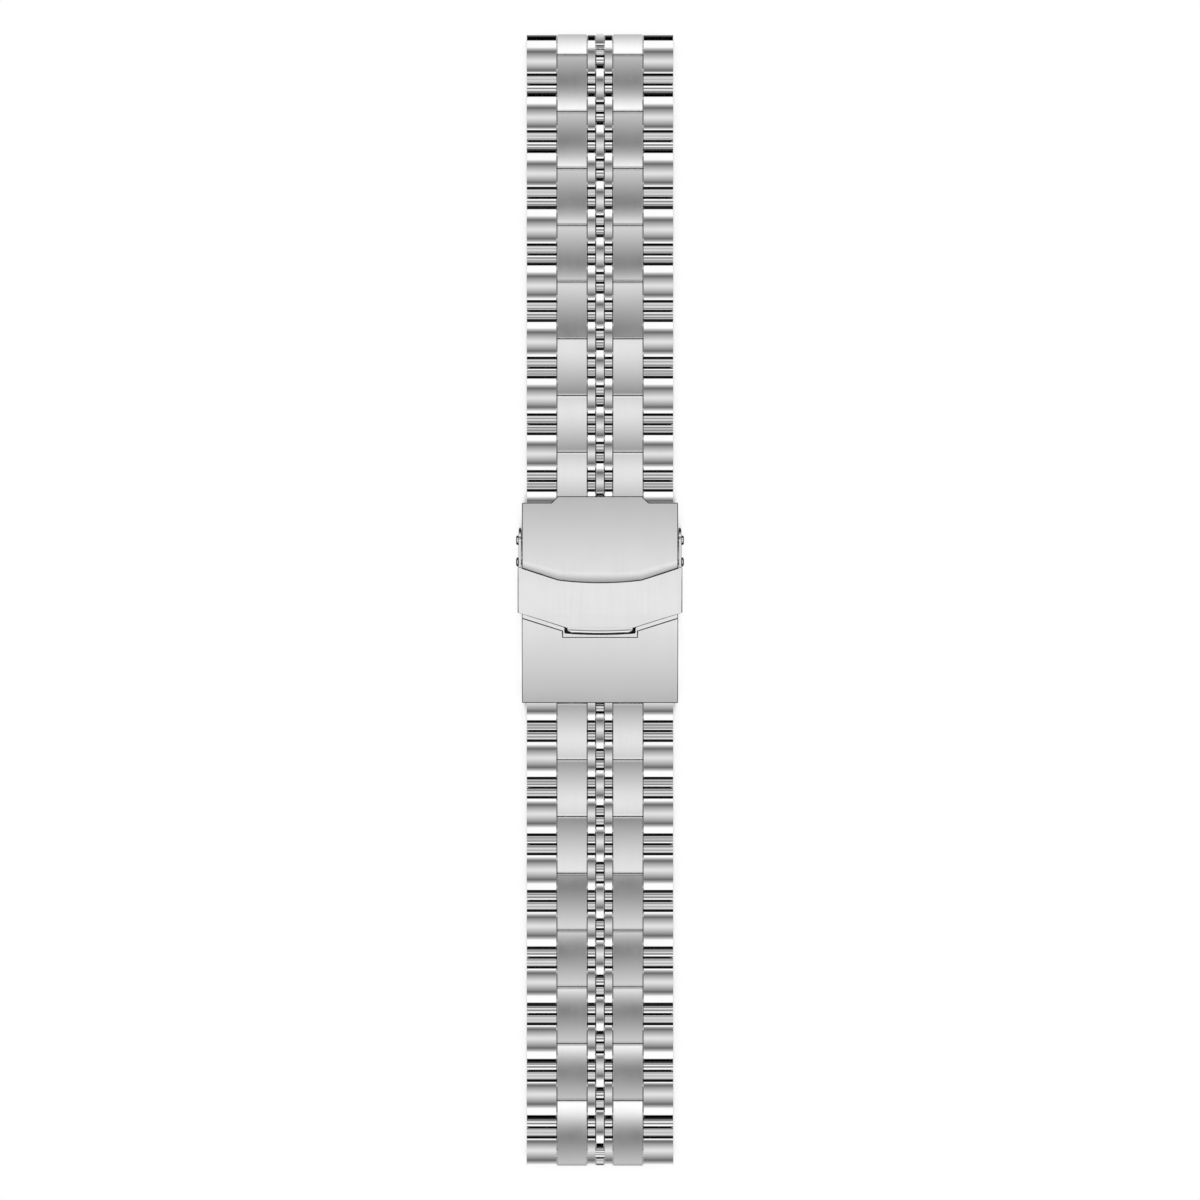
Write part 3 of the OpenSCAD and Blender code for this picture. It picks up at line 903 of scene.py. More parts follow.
def spring_tree():
    """Geometry nodes that wind a wire into a coil spring across the band."""
    name = "Coil Spring"
    if name in bpy.data.node_groups:
        return bpy.data.node_groups[name]
    inputs = (
        ("Base", "Geometry"),
        ("Turns", "Float"),
        ("Coil Radius", "Float"),
        ("Wire Radius", "Float"),
        ("Length", "Float"),
        ("Place", "Vector"),
        ("Material", "Material"),
    )
    tree, n, given = node_group("GeometryNodeTree", name, inputs, [("Spring", "Geometry")])
    coil = n.add(
        "GeometryNodeCurveSpiral",
        {
            "Resolution": TURN_POINTS,
            "Rotations": given["Turns"],
            "Start Radius": given["Coil Radius"],
            "End Radius": given["Coil Radius"],
            "Height": given["Length"],
        },
    )
    wire = n.add(
        "GeometryNodeCurvePrimitiveCircle", {"Resolution": WIRE_SIDES, "Radius": given["Wire Radius"]}
    )
    tube = n.add(
        "GeometryNodeCurveToMesh",
        {"Curve": coil.outputs["Curve"], "Profile Curve": wire.outputs["Curve"], "Fill Caps": True},
    )
    across = (0.0, math.pi / 2, 0.0)
    placed = n.add(
        "GeometryNodeTransform",
        {"Geometry": tube.outputs["Mesh"], "Translation": given["Place"], "Rotation": across},
    )
    smooth = n.add("GeometryNodeSetShadeSmooth", {"Geometry": placed.outputs[0]})
    real = n.add("GeometryNodeRealizeInstances", {"Geometry": smooth.outputs[0]})
    paint = n.add("GeometryNodeSetMaterial", {"Geometry": real.outputs[0], "Material": given["Material"]})
    n.add("NodeGroupOutput", {"Spring": paint.outputs[0]})
    return tree


def with_tree(name, mesh, tree, values):
    """A new object whose mesh is what the tree makes with these values."""
    obj = add_object(name, mesh)
    modifier = obj.modifiers.new("Build", "NODES")
    modifier.node_group = tree
    sockets = {item.name: item.identifier for item in tree.interface.items_tree if item.in_out == "INPUT"}
    for label, value in values.items():
        modifier[sockets[label]] = value
    return settle(obj)


def repeated(name, blank, first, spacing, count, face, edge):
    """The blank, repeated along a line as one plain piece."""
    values = {
        "First Place": first,
        "Spacing": spacing,
        "Count": count,
        "Face Material": bpy.data.materials[face],
        "Edge Material": bpy.data.materials[edge],
    }
    return with_tree(name, blank.data, repeat_tree(), values)


def joined(name, parts):
    """Several plain objects as one."""
    target = parts[0]
    if len(parts) > 1:
        with bpy.context.temp_override(
            active_object=target, object=target, selected_objects=parts, selected_editable_objects=parts
        ):
            bpy.ops.object.join()
    target.name = name
    target.data.name = name
    return target


def pin_blank(name, s, lean=0.1):
    """One hinge pin at the origin, polished at its ends, with painted shade on its shaft between the links.
    """
    bm = bmesh.new()
    end = s.band_width / 2 - s.pin_sink
    rim = s.pin_radius - s.edge_round
    rings = [(-end, rim), (s.edge_round - end, s.pin_radius), (end - s.edge_round, s.pin_radius), (end, rim)]
    add_lathe(bm, rings, 0.0, 0.0)
    bm.normal_update()
    for face in bm.faces:
        # The shaft's faces take the painted shade, the ends the polish
        face.material_index = int(abs(face.normal.x) < lean)
    return crisp(wear(add_object(name, mesh_of(name, bm)), *PIN))


def link_bores(s, play):
    """A link's two pin bores, each as a radius and a place."""
    z = s.link_height / 2
    return [(s.pin_radius + play, y, z) for y in (-s.pin_spacing / 2, s.pin_spacing / 2)]


def row_place(node):
    """Middle of a row of links along the band, from its pins or its links."""
    low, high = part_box(node)
    return (low[1] + high[1]) / 2


def columns(s):
    """Distances from the middle to the outer links, plates and side beads, and a plate's width."""
    plate_width = (s.band_width - 2 * s.outer_width - 3 * s.bead_width - 6 * s.column_gap) / 2
    outer = (s.band_width - s.outer_width) / 2
    plate = s.band_width / 2 - s.outer_width - s.column_gap - plate_width / 2
    side = s.bead_width + s.column_gap
    return outer, plate, side, plate_width


def pair(name, blank, distance, y, face, edge):
    """The blank on the left and on the right."""
    return repeated(name, blank, (-distance, y, 0.0), (2 * distance, 0.0, 0.0), 2, face, edge)


def build_outer_rows(s):
    """Rows of outer links and side beads, with their hinge pins."""
    outer, _, side, _ = columns(s)
    outline = crown_outline(s)
    z = s.link_height / 2
    bores = link_bores(s, PRESSED_FIT)
    link = slab("outer link", outline, 0.0, s.outer_width, bores, s.edge_round, POLISHED)
    bead = slab("side bead", outline, 0.0, s.bead_width, bores, s.edge_round, POLISHED)
    pin = pin_blank("hinge pin", s)
    for half in ("upper", "lower"):
        for i in range(1, ROWS_PER_HALF + 1):
            node = f"{half}_outer_{i}"
            y = row_place(node)
            links = pair("links", link, outer, y, *POLISHED)
            beads = pair("beads", bead, side, y, *POLISHED)
            fit(shine(joined(f"{node}_links", [links, beads])), node, "polished_links", node)
            low = y - s.pin_spacing / 2
            count = 1 if node == "lower_outer_1" else 2
            pins = repeated(f"{node}_pins", pin, (0.0, low, z), (0.0, s.pin_spacing, 0.0), count, *PIN)
            fit(pins, node, "polished_pins", node)
    for blank in (link, bead, pin):
        bpy.data.objects.remove(blank)


def build_inner_rows(s):
    """Rows of brushed plates with the centre beads between them."""
    _, plate, _, plate_width = columns(s)
    bores = link_bores(s, FREE_FIT)
    face = slab("plate", plate_outline(s), 0.0, plate_width, bores, s.edge_round, BRUSHED)
    bead = slab("centre bead", crown_outline(s), 0.0, s.bead_width, bores, s.edge_round, POLISHED)
    for half, count in (("upper", ROWS_PER_HALF), ("lower", ROWS_PER_HALF - 1)):
        for i in range(1, count + 1):
            node = f"{half}_inner_{i}"
            y = row_place(node)
            plates = pair(f"{node}_plates", face, plate, y, *BRUSHED)
            fit(shine(plates), node, "brushed_links", node)
            centre = repeated(f"{node}_bead", bead, (0.0, y, 0.0), (0.0, 0.0, 0.0), 1, *POLISHED)
            fit(shine(centre), node, "polished_links", node)
    for blank in (face, bead):
        bpy.data.objects.remove(blank)


def end_piece(name, slabs, bores, s, materials):
    """Columns of an end link as one piece; each slab is an outline, its places and its width."""
    parts = []
    for outline, places, width in slabs:
        low, high = min(y for y, _ in outline), max(y for y, _ in outline)
        own = [bore for bore in bores if low + bore[0] < bore[1] < high - bore[0]]
        parts += [slab("part", outline, x, width, own, s.edge_round, materials) for x in places]
    piece = wear(joined(name, parts), *materials, "polished edge")
    ends = [face.center.y for face in piece.data.polygons]
    outer_end = max(ends) if max(ends) > -min(ends) else min(ends)
    for face in piece.data.polygons:
        if abs(face.center.y - outer_end) < SAME_PLANE:
            face.material_index = 2
    return shine(piece)


def moved(outline, y):
    """The outline, further along the band."""
    return [(a + y, b) for a, b in outline]


def fit_end_link(node, polished, plates, web, bores, s):
    """Dresses an end link with its polished and brushed columns and the web that joins them."""
    _, plate, _, plate_width = columns(s)
    low, high = web
    block = [(low, WEB_INSET), (high, WEB_INSET), (high, s.web_height), (low, s.web_height)]
    pieces = (
        ("links", polished, bores, POLISHED, "polished_links"),
        ("plates", [(plates, (-plate, plate), plate_width)], bores, BRUSHED, "brushed_links"),
        ("web", [(block, (0.0,), s.band_width - 2 * WEB_INSET)], bores[1:], BRUSHED, "brushed_links"),
    )
    for label, slabs, holes, materials, slot in pieces:
        fit(end_piece(f"{node}_{label}", slabs, holes, s, materials), node, slot, node)


def build_end_links(s):
    """The two links that go between the lugs of a watch."""
    outer, _, side, _ = columns(s)
    crown, top = crown_outline(s), plate_outline(s)
    step = s.pin_spacing
    z = s.link_height / 2
    bead = s.bead_width

    node = "upper_end_link"
    low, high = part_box(node)
    y = low[1] + step / 2 + s.body_radius
    end = high[1] - y
    bores = [(s.pin_radius + PRESSED_FIT, y - step / 2, z), (s.lug_bore_radius, high[1] - LUG_BORE_INSET, z)]
    crowns = moved(between(crown, -FAR, end), y)
    middle = moved(between(crown, -FAR, end, step), y)
    plates = moved(between(top, -FAR, end, step), y)
    polished = [(crowns, (-outer, outer), s.outer_width), (crowns, (-side, side), bead)]
    polished += [(middle, (0.0,), bead)]
    web = (y + (step / 2 - s.end_radius) + WEB_SETBACK, high[1] - WEB_INSET)
    fit_end_link(node, polished, plates, web, bores, s)
    pin = pin_blank("end pin", s)
    pins = repeated(f"{node}_pin", pin, (0.0, y - step / 2, z), (0.0, 0.0, 0.0), 1, *PIN)
    fit(pins, node, "polished_pins", node)
    bpy.data.objects.remove(pin)

    node = "lower_end_link"
    low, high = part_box(node)
    y = high[1] - step / 2 - s.body_radius
    end = low[1] - y
    bores = [(s.pin_radius + FREE_FIT, y + step / 2, z), (s.lug_bore_radius, low[1] + LUG_BORE_INSET, z)]
    half = step / 2 + s.end_radius
    centre = (end + half) / 2
    plates = moved(link_end(s, 0.0) + hollow_top(s, half - centre, centre) + [(end, 0.0)], y)
    crowns = moved(between(crown, end, FAR, -step), y)
    near = moved(crown, y)
    far = moved(between(crown, end, FAR, -2 * step), y)
    polished = [(crowns, (-outer, outer), s.outer_width), (crowns, (-side, side), bead)]
    polished += [(near, (0.0,), bead), (far, (0.0,), bead)]
    web = (low[1] + WEB_INSET, y - step / 2 - WEB_SETBACK)
    fit_end_link(node, polished, plates, web, bores, s)


def node_copy(node, same=1e-7, flat=math.radians(0.2)):
    """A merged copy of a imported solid's mesh, without the edges inside its flat faces."""
    bm = bmesh.new()
    bm.from_mesh(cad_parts[node].data)
    bmesh.ops.remove_doubles(bm, verts=bm.verts, dist=same)
    bmesh.ops.dissolve_limit(bm, angle_limit=flat, verts=bm.verts, edges=bm.edges)
    return bm


def dressed(bm, name, width, face, edge, share=None):
    """A piece made from bm, with rounded edges and smooth light."""
    obj = wear(add_object(name, mesh_of(name, bm)), face, edge)
    return weighted(soften(obj, width, share))


def arch_height(pad, y):
    """Height of the cover's arched top at that place along the band."""
    return pad.arch_top - pad.arch_radius + math.sqrt(pad.arch_radius**2 - y * y)


def pad_fall(pad, x, y):
    """How far the upper pad has fallen away there, close to its lower edge."""
    across = min(abs(x), pad.side[0])
    if across < pad.corner[0]:
        bow = pad.corner[1] - pad.edge_middle
        edge = pad.edge_middle + bow * (across / pad.corner[0]) ** 2
        slope = 2 * bow * across / pad.corner[0] ** 2
    else:
        slope = (pad.side[1] - pad.corner[1]) / (pad.side[0] - pad.corner[0])
        edge = pad.corner[1] + slope * (across - pad.corner[0])
    width = pad.roll_middle + (pad.roll_side - pad.roll_middle) * across / pad.side[0]
    inside = (y - edge) / math.hypot(1, slope)
    if inside > width:
        return 0.0
    return pad.roll_slope / 2 * width * (1 - max(inside, 0.0) / width) ** 2


def roll_pad(obj, pad, low=0.0025, high=0.0068, step=0.0002, side_step=0.0006, depth=0.00025):
    """Lets the upper pad fall away towards the flap, after a grid of cuts over its top."""
    bm = bmesh.new()
    bm.from_mesh(obj.data)

    def on_top(co):
        return co.y > low and co.z > arch_height(pad, co.y) - depth

    def cut(place, normal):
        faces = [f for f in bm.faces if f.normal.z > TOP_RISE and all(on_top(v.co) for v in f.verts)]
        geom = list({e for f in faces for e in f.edges} | {v for f in faces for v in f.verts}) + faces
        bmesh.ops.bisect_plane(bm, geom=geom, dist=SAME_POINT, plane_co=place, plane_no=normal)

    for k in range(int((high - low) / step) + 1):
        cut((0.0, low + k * step, 0.0), (0.0, 1.0, 0.0))
    count = int(pad.side[0] / side_step)
    for k in range(-count, count + 1):
        cut((k * side_step, 0.0, 0.0), (1.0, 0.0, 0.0))
    for v in bm.verts:
        if on_top(v.co):
            v.co.z -= pad_fall(pad, v.co.x, v.co.y)
    bm.to_mesh(obj.data)
    bm.free()
    return obj


def arched_light(obj, pad, fall=None, near=1e-5):
    """Gives the arched top the normals of its true shape."""
    mesh = obj.data
    values = [tuple(corner.vector) for corner in mesh.corner_normals]

    def height(x, y):
        return arch_height(pad, y) - (fall(pad, x, y) if fall else 0.0)

    for face in mesh.polygons:
        x, y, z = face.center
        if face.material_index or face.normal.z < TOP_RISE or abs(height(x, y) - z) > TOP_DEPTH:
            continue
        for k in face.loop_indices:
            x, y, _ = mesh.vertices[mesh.loops[k].vertex_index].co
            across = height(x - near, y) - height(x + near, y)
            along = height(x, y - near) - height(x, y + near)
            values[k] = tuple(Vector((across, along, 2 * near)).normalized())
    mesh.normals_split_custom_set(values)
    return obj


def build_cover(s, pad):
    """The arched cover with its pads and pocket, and the block under its roof."""

    def share(co):
        if co.z < pad.lip_floor or abs(co.x) > pad.side[0] - SIDE_MARGIN:
            return PLAIN_SHARE
        if 0.0 < co.y < pad.side[1]:
            return FACING_SHARE
        in_slot = abs(co.x) < SLOT_HALF_WIDTH and SLOT_START < co.y < SLOT_END
        return SLOT_SHARE if in_slot else COVER_TOP_SHARE

    name = "clasp_cover_shell"
    cover = wear(add_object(name, mesh_of(name, node_copy("clasp_cover"))), *SATIN)
    soften(cover, s.edge_round, share)
    arched_light(weighted(roll_pad(cover, pad)), pad, pad_fall)
    fit(cover, "clasp", "brushed_clasp", "clasp_cover")
    block = dressed(node_copy("hinge_block"), "hinge_block_body", s.edge_round / 2, *BLADE)
    fit(block, "clasp", "blade_steel", "hinge_block")


def lip_outline(pad):
    """Side view of the finger lip: flat top, round nose and flat underside."""
    y, z = pad.lip_centre
    low = math.pi - math.asin((pad.lip_floor - z) / pad.lip_radius)
    nose = arc(y, z, pad.lip_radius, math.pi / 2, low, ARC_STEPS)
    back = pad.lip_back + LIP_OVERLAP
    return [(back, z + pad.lip_radius)] + nose + [(back, pad.lip_floor)]


def cut_plane(bm, place, normal, clear_outer=False):
    """Cuts everything at a plane, and returns what lies on the cut."""
    geom = list(bm.verts) + list(bm.edges) + list(bm.faces)
    made = bmesh.ops.bisect_plane(
        bm, geom=geom, dist=SAME_POINT, plane_co=place, plane_no=normal, clear_outer=clear_outer
    )
    return made["geom_cut"]


def bow_lip(obj, pad):
    """Bends the lip so that its ends lie behind its middle and curve down."""
    bm = bmesh.new()
    bm.from_mesh(obj.data)
    half = pad.lip_width / 2
    start = half - LIP_CURL * pad.lip_end_radius
    for k in range(1, LIP_CUTS):
        place = (2 * k / LIP_CUTS - 1) * (half - pad.lip_edge)
        cut_plane(bm, (place, 0.0, 0.0), (1.0, 0.0, 0.0))
    shading = bm.loops.layers.float_vector["shading"]
    # Faces on the curled ends take the edge steel, whose painted shade darkens them as they turn down
    for face in bm.faces:
        if abs(face.calc_center_median().x) > start:
            face.material_index = 1
        for loop in face.loops:
            x = loop.vert.co.x
            over = max(abs(x) - start, 0.0)
            lean = 2 * pad.lip_bow * x / half**2
            fall = math.copysign(over / math.sqrt(pad.lip_end_radius**2 - over * over), x)
            nx, ny, nz = loop[shading]
            loop[shading] = Vector((nx - lean * ny + fall * nz, ny, nz)).normalized()
    for v in bm.verts:
        over = max(abs(v.co.x) - start, 0.0)
        v.co.y += pad.lip_bow * (v.co.x / half) ** 2
        v.co.z -= pad.lip_end_radius - math.sqrt(pad.lip_end_radius**2 - over * over)
    bm.to_mesh(obj.data)
    bm.free()
    return obj


def build_flap(s, pad):
    """The safety flap with its finger lip and arms, and the rivets on which it turns."""
    bm = node_copy("safety_flap")
    cut = cut_plane(bm, (0.0, pad.lip_back - SAME_PLANE, 0.0), (0.0, -1.0, 0.0), clear_outer=True)
    bmesh.ops.holes_fill(bm, edges=[e for e in cut if isinstance(e, bmesh.types.BMEdge)], sides=0)

    def share(co):
        if co.z < pad.lip_floor or abs(co.x) > pad.side[0]:
            return FLAP_SIDE_SHARE
        at_lip = co.y < pad.lip_back + LIP_MARGIN and abs(co.x) < pad.lip_width / 2 - SIDE_MARGIN
        return FACING_SHARE if at_lip or co.y > 0.0 else FLAP_TOP_SHARE

    flap = dressed(bm, "safety_flap_plate", s.edge_round, *SATIN, share=share)
    # The arms' round ends take the polished steel, whose painted shade darkens faces that turn along the band
    flap.data.materials.append(bpy.data.materials["polished steel"])
    for face in flap.data.polygons:
        if face.material_index == 0 and face.center.y > s.pivot_place[0]:
            face.material_index = 2
    fit(arched_light(flap, pad), "safety_flap", "brushed_clasp", "safety_flap")
    lip = slab("finger_lip", lip_outline(pad), 0.0, pad.lip_width, [], pad.lip_edge, POLISHED)
    fit(shine(bow_lip(lip, pad)), "safety_flap", "brushed_clasp", "safety_flap")
    y, z = s.pivot_place
    bm = bmesh.new()
    for side in (-1, 1):
        rings = [
            (side * s.collar_place, s.flange_radius),
            (side * (s.collar_place + s.collar_thickness), s.flange_radius),
            (side * (s.collar_place + s.collar_thickness), s.shank_radius),
            (side * s.head_place, s.shank_radius),
        ] + head_rings(s, side)
        add_lathe(bm, rings, y, z)
    bmesh.ops.recalc_face_normals(bm, faces=bm.faces)
    rivets = wear(add_object("flap_rivets", mesh_of("flap_rivets", bm)), "pin steel")
    fit(crisp(rivets), "clasp", "polished_pins", "flap_pivots")


def head_rings(s, side, rim_share=0.45, steps=8):
    """Places and radii of a domed head that stands out to one side; its rim is straight at first."""
    rings = [(side * s.head_place, s.head_radius)]
    flat = s.head_height * rim_share
    rise = s.head_height - flat
    for i in range(steps + 1):
        angle = math.pi / 2 * i / steps
        radius = s.head_radius - rise * (1 - math.cos(angle))
        rings.append((side * (s.head_place + flat + rise * math.sin(angle)), radius))
    return rings


def crisp(obj, angle=math.radians(30)):
    """Smooth faces with sharp edges where the surface turns."""
    shade(obj.data)
    obj.data.set_sharp_from_angle(angle=angle)
    return obj


def build_buttons(s):
    """The two push buttons with their latch arms, and the springs behind them."""
    for side, label in ((1, "right"), (-1, "left")):
        node = f"button_{label}"
        arm = dressed(node_copy(node), f"{node}_arm", s.edge_round / 2, *TURNED)
        fit(arm, node, "polished_pins", node)
        low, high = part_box(f"button_spring_{label}")
        middle = [(low[i] + high[i]) / 2 for i in range(3)]
        length = high[0] - low[0] - SPRING_ENDS * s.wire_radius
        values = {
            "Turns": float(s.coil_turns),
            "Coil Radius": s.coil_radius,
            "Wire Radius": s.wire_radius,
            "Length": length,
            "Place": (middle[0] - length / 2, middle[1], middle[2]),
            "Material": bpy.data.materials["spring steel"],
        }
        empty = bpy.data.meshes.new("spring base")
        spring = with_tree(f"button_spring_{label}_coil", empty, spring_tree(), values)
        fit(spring, "clasp", "spring_steel", f"button_spring_{label}")
        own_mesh(spring)


def build_blades(s):
    """The two folding blades, and the pins and posts on them."""
    for node in ("middle_blade", "long_blade"):
        blade = dressed(node_copy(node), f"{node}_plate", s.edge_round, *BLADE)
        fit(blade, node, "blade_steel", node)
    for node in ("cover_hinge_pin", "blade_hinge_pin", "catch_posts", "clasp_spring_bar"):
        body = "clasp" if node in ("cover_hinge_pin", "clasp_spring_bar") else "long_blade"
        part = dressed(node_copy(node), f"{node}_turned", s.edge_round / 4, *TURNED)
        fit(part, body, "polished_pins", node)


SMOOTH = {"interpolation_type": "SMOOTHSTEP"}
WHITE = (1.0, 1.0, 1.0, 1.0)
# Colour of the painted shade on rounded edges and on faces turned towards the next link
SHADOW_COLOUR = (0.015, 0.015, 0.016, 1.0)
# How much rougher the shaded bands of a brushed face are
GRAIN_GAIN = 0.06
# How many times as high as wide the brush lines are, and the scale of the bands against the lines
GRAIN_RISE = 6.0
BAND_SCALE = (0.12, 0.7, 0.12)
# Wiping marks and smudges in a metre, and the noise at which a smudge begins and is full
WIPE_SCALE = (9000.0, 1400.0, 4000.0)
SMUDGE_SCALE = 260.0
SMUDGE_RANGE = (0.42, 0.68)
# Turn towards the next link at which a face darkens and is dark
END_TURN = (0.53, 0.68)
# Turn over which the painted dark line on a rounded edge sets in, and the turns between which it ends
RIM_RISE = 0.2
RIM_END = (0.95, 0.995)
# Length over which the lean of the plates sets in
LEAN_BLEND = 0.005
# Roughness of the edges of brushed pieces
EDGE_ROUGHNESS = 0.14
# The group of a painted shadow, and the turn at which the painted dark line on a rounded edge begins
ENDS = ("ends", None)
RIMS = ("rims", 0.35)
CLASP_RIMS = ("rims", 0.1)


def grain_group():
    """Brush lines that run along the band, and wider bands of shade between them."""
    inputs = [("Place", "Vector"), ("Spacing", "Float", 0.00006), ("Length", "Float", 0.006)]
    outputs = [("Height", "Float"), ("Shade", "Float")]
    tree, n, given = node_group("ShaderNodeTree", "Brush Grain", inputs, outputs)
    place = n.add("ShaderNodeSeparateXYZ", {0: given["Place"]}).outputs
    across = n.math("DIVIDE", place[0], given["Spacing"])
    along = n.math("DIVIDE", place[1], given["Length"])
    up = n.math("DIVIDE", n.math("DIVIDE", place[2], given["Spacing"]), GRAIN_RISE)
    fine = n.add("ShaderNodeCombineXYZ", {0: across, 1: along, 2: up}).outputs[0]
    lines = n.add(
        "ShaderNodeTexNoise", {"Vector": fine, "Scale": 1.0, "Detail": 2.0, "Roughness": 0.6}
    )
    wide = n.add("ShaderNodeVectorMath", {0: fine, 1: BAND_SCALE}, operation="MULTIPLY")
    bands = n.add("ShaderNodeTexNoise", {"Vector": wide.outputs[0], "Scale": 1.0, "Detail": 3.0})
    n.add("NodeGroupOutput", {"Height": lines.outputs["Fac"], "Shade": bands.outputs["Fac"]})
    return tree


def marks_group():
    """Fine wiping marks and faint smudges of a worn polish."""
    inputs = [("Place", "Vector"), ("Scale", "Float", 1.0)]
    outputs = [("Height", "Float"), ("Smudge", "Float")]
    tree, n, given = node_group("ShaderNodeTree", "Handling Marks", inputs, outputs)
    scaled = n.add("ShaderNodeVectorMath", {0: given["Place"], 3: given["Scale"]}, operation="SCALE")
    place = scaled.outputs[0]
    wiped = n.add("ShaderNodeVectorMath", {0: place, 1: WIPE_SCALE}, operation="MULTIPLY")
    hair = n.add("ShaderNodeTexNoise", {"Vector": wiped.outputs[0], "Scale": 1.0, "Detail": 4.0})
    patch = n.add("ShaderNodeTexNoise", {"Vector": place, "Scale": SMUDGE_SCALE, "Detail": 3.0})
    smudge = n.ease(patch.outputs["Fac"], *SMUDGE_RANGE, 0.0, 1.0)
    n.add("NodeGroupOutput", {"Height": hair.outputs["Fac"], "Smudge": smudge})
    return tree


def shadow_group():
    """How far a face turns towards the next link, where little light comes."""
    inputs, outputs = [("Facing", "Vector")], [("Shadow", "Float")]
    tree, n, given = node_group("ShaderNodeTree", "Shadowed Ends", inputs, outputs)
    facing = n.add("ShaderNodeSeparateXYZ", {0: given["Facing"]}).outputs
    turned = n.math("ABSOLUTE", facing[1])
    n.add("NodeGroupOutput", {"Shadow": n.ease(turned, *END_TURN, 0.0, 1.0, **SMOOTH)})
    return tree


def rim_group():
    """Painted shade: the dark line on a rounded edge, between its flat top and its upright side."""
    inputs = [("Facing", "Vector"), ("Start", "Float", 0.35)]
    tree, n, given = node_group("ShaderNodeTree", "Dark Rims", inputs, [("Shadow", "Float")])
    facing = n.add("ShaderNodeSeparateXYZ", {0: given["Facing"]}).outputs
    flat = n.add("ShaderNodeCombineXYZ", {0: facing[0], 1: facing[1]}).outputs[0]
    turned = n.add("ShaderNodeVectorMath", {0: flat}, operation="LENGTH").outputs[1]
    full = n.math("ADD", given["Start"], RIM_RISE)
    rise = n.ease(turned, given["Start"], full, 0.0, 1.0, **SMOOTH)
    fall = n.ease(turned, *RIM_END, 1.0, 0.0, **SMOOTH)
    n.add("NodeGroupOutput", {"Shadow": n.math("MULTIPLY", rise, fall)})
    return tree


def lean_group():
    """The plates far from the clasp lean outwards a little, as they lie on a soft cushion."""
    inputs = [("Place", "Vector"), ("Start", "Float", 0.04), ("Slope", "Float", 0.087)]
    tree, n, given = node_group("ShaderNodeTree", "Plate Lean", inputs, [("Height", "Float")])
    place = n.add("ShaderNodeSeparateXYZ", {0: given["Place"]}).outputs
    beyond = n.math("SUBTRACT", n.math("ABSOLUTE", place[1]), given["Start"])
    soft = n.math("SQRT", n.math("MULTIPLY_ADD", beyond, beyond, LEAN_BLEND**2))
    fallen = n.math("MULTIPLY", n.math("ADD", soft, beyond), -0.5)
    n.add("NodeGroupOutput", {"Height": n.math("MULTIPLY", fallen, given["Slope"])})
    return tree


def new_material(name):
    """A material without nodes, and short calls for making them."""
    material = bpy.data.materials.new(name)
    material.use_nodes = True
    material.node_tree.nodes.clear()
    return material, Nodes(material.node_tree)


def metal(name, colour, roughness, bump, groups, grain=None, gain=0.03, dark=0.975, shadow=None, lean=False):
    """A steel with brush lines or handling marks; shadow names the group that paints shade on its rims or
    ends.
    """
    _, n = new_material(name)
    where = n.add("ShaderNodeTexCoord").outputs
    place = where["Object"]
    worn = n.add("ShaderNodeGroup", {"Place": place}, node_tree=groups["marks"]).outputs
    height, mask = worn["Height"], worn["Smudge"]
    rough = n.math("MULTIPLY_ADD", mask, gain, roughness)
    if grain:
        sizes = {"Place": place, "Spacing": grain[0], "Length": grain[1]}
        brush = n.add("ShaderNodeGroup", sizes, node_tree=groups["grain"]).outputs
        height, mask = brush["Height"], brush["Shade"]
        rough = n.math("MULTIPLY_ADD", mask, GRAIN_GAIN, rough)
    height = n.math("MULTIPLY", height, bump)
    if lean:
        tilt = n.add("ShaderNodeGroup", {"Place": place}, node_tree=groups["lean"])
        height = n.math("ADD", height, tilt.outputs["Height"])
    shown = n.mix(mask, (*colour, 1.0), (*(c * dark for c in colour), 1.0))
    if shadow:
        kind, start = shadow
        rim = n.add("ShaderNodeGroup", {"Facing": where["Normal"]}, node_tree=groups[kind])
        if start:
            rim.inputs["Start"].default_value = start
        shown = n.mix(rim.outputs[0], shown, SHADOW_COLOUR)
    relief = n.add("ShaderNodeBump", {"Height": height, "Strength": 1.0, "Distance": 1.0})
    steel = n.add(
        "ShaderNodeBsdfPrincipled",
        {"Metallic": 1.0, "Base Color": shown, "Roughness": rough, "Normal": relief.outputs[0]},
    )
    n.add("ShaderNodeOutputMaterial", {0: steel.outputs[0]})


def build_materials(finishes):
    """Every steel of the bracelet."""
    groups = {
        "grain": grain_group(),
        "marks": marks_group(),
        "ends": shadow_group(),
        "rims": rim_group(),
        "lean": lean_group(),
    }
    grain = (finishes.grain_spacing, finishes.grain_length)
    steel, satin, blade = tuple(finishes.steel), tuple(finishes.satin), tuple(finishes.blade)
    polish, brushing = finishes.polish, finishes.brushing
    # The shadow groups paint shade on the polished link ends and on the rounded edges
    metal("polished steel", steel, polish, 2e-8, groups, gain=0.02, shadow=ENDS)
    metal("polished edge", steel, polish, 4e-8, groups, shadow=RIMS)
    metal("brushed steel", satin, brushing, 2.5e-7, groups, grain, lean=True)
    metal("brushed edge", satin, EDGE_ROUGHNESS, 1e-7, groups, shadow=RIMS)
    metal("satin clasp steel", tuple(finishes.clasp), 0.2, 2.5e-7, groups, grain)
    metal("clasp edge", satin, EDGE_ROUGHNESS, 1e-7, groups, shadow=CLASP_RIMS)
    metal("blade steel", blade, 0.3, 8e-7, groups, grain, dark=0.92)
    metal("pin steel", steel, 0.08, 1e-7, groups, shadow=RIMS)
    # Painted shade on the pin shafts, which show only in the gaps between the links
    metal("shaded pin shaft", tuple(finishes.shaft), 0.4, 1e-7, groups)
    metal("spring steel", blade, 0.2, 1e-7, groups)


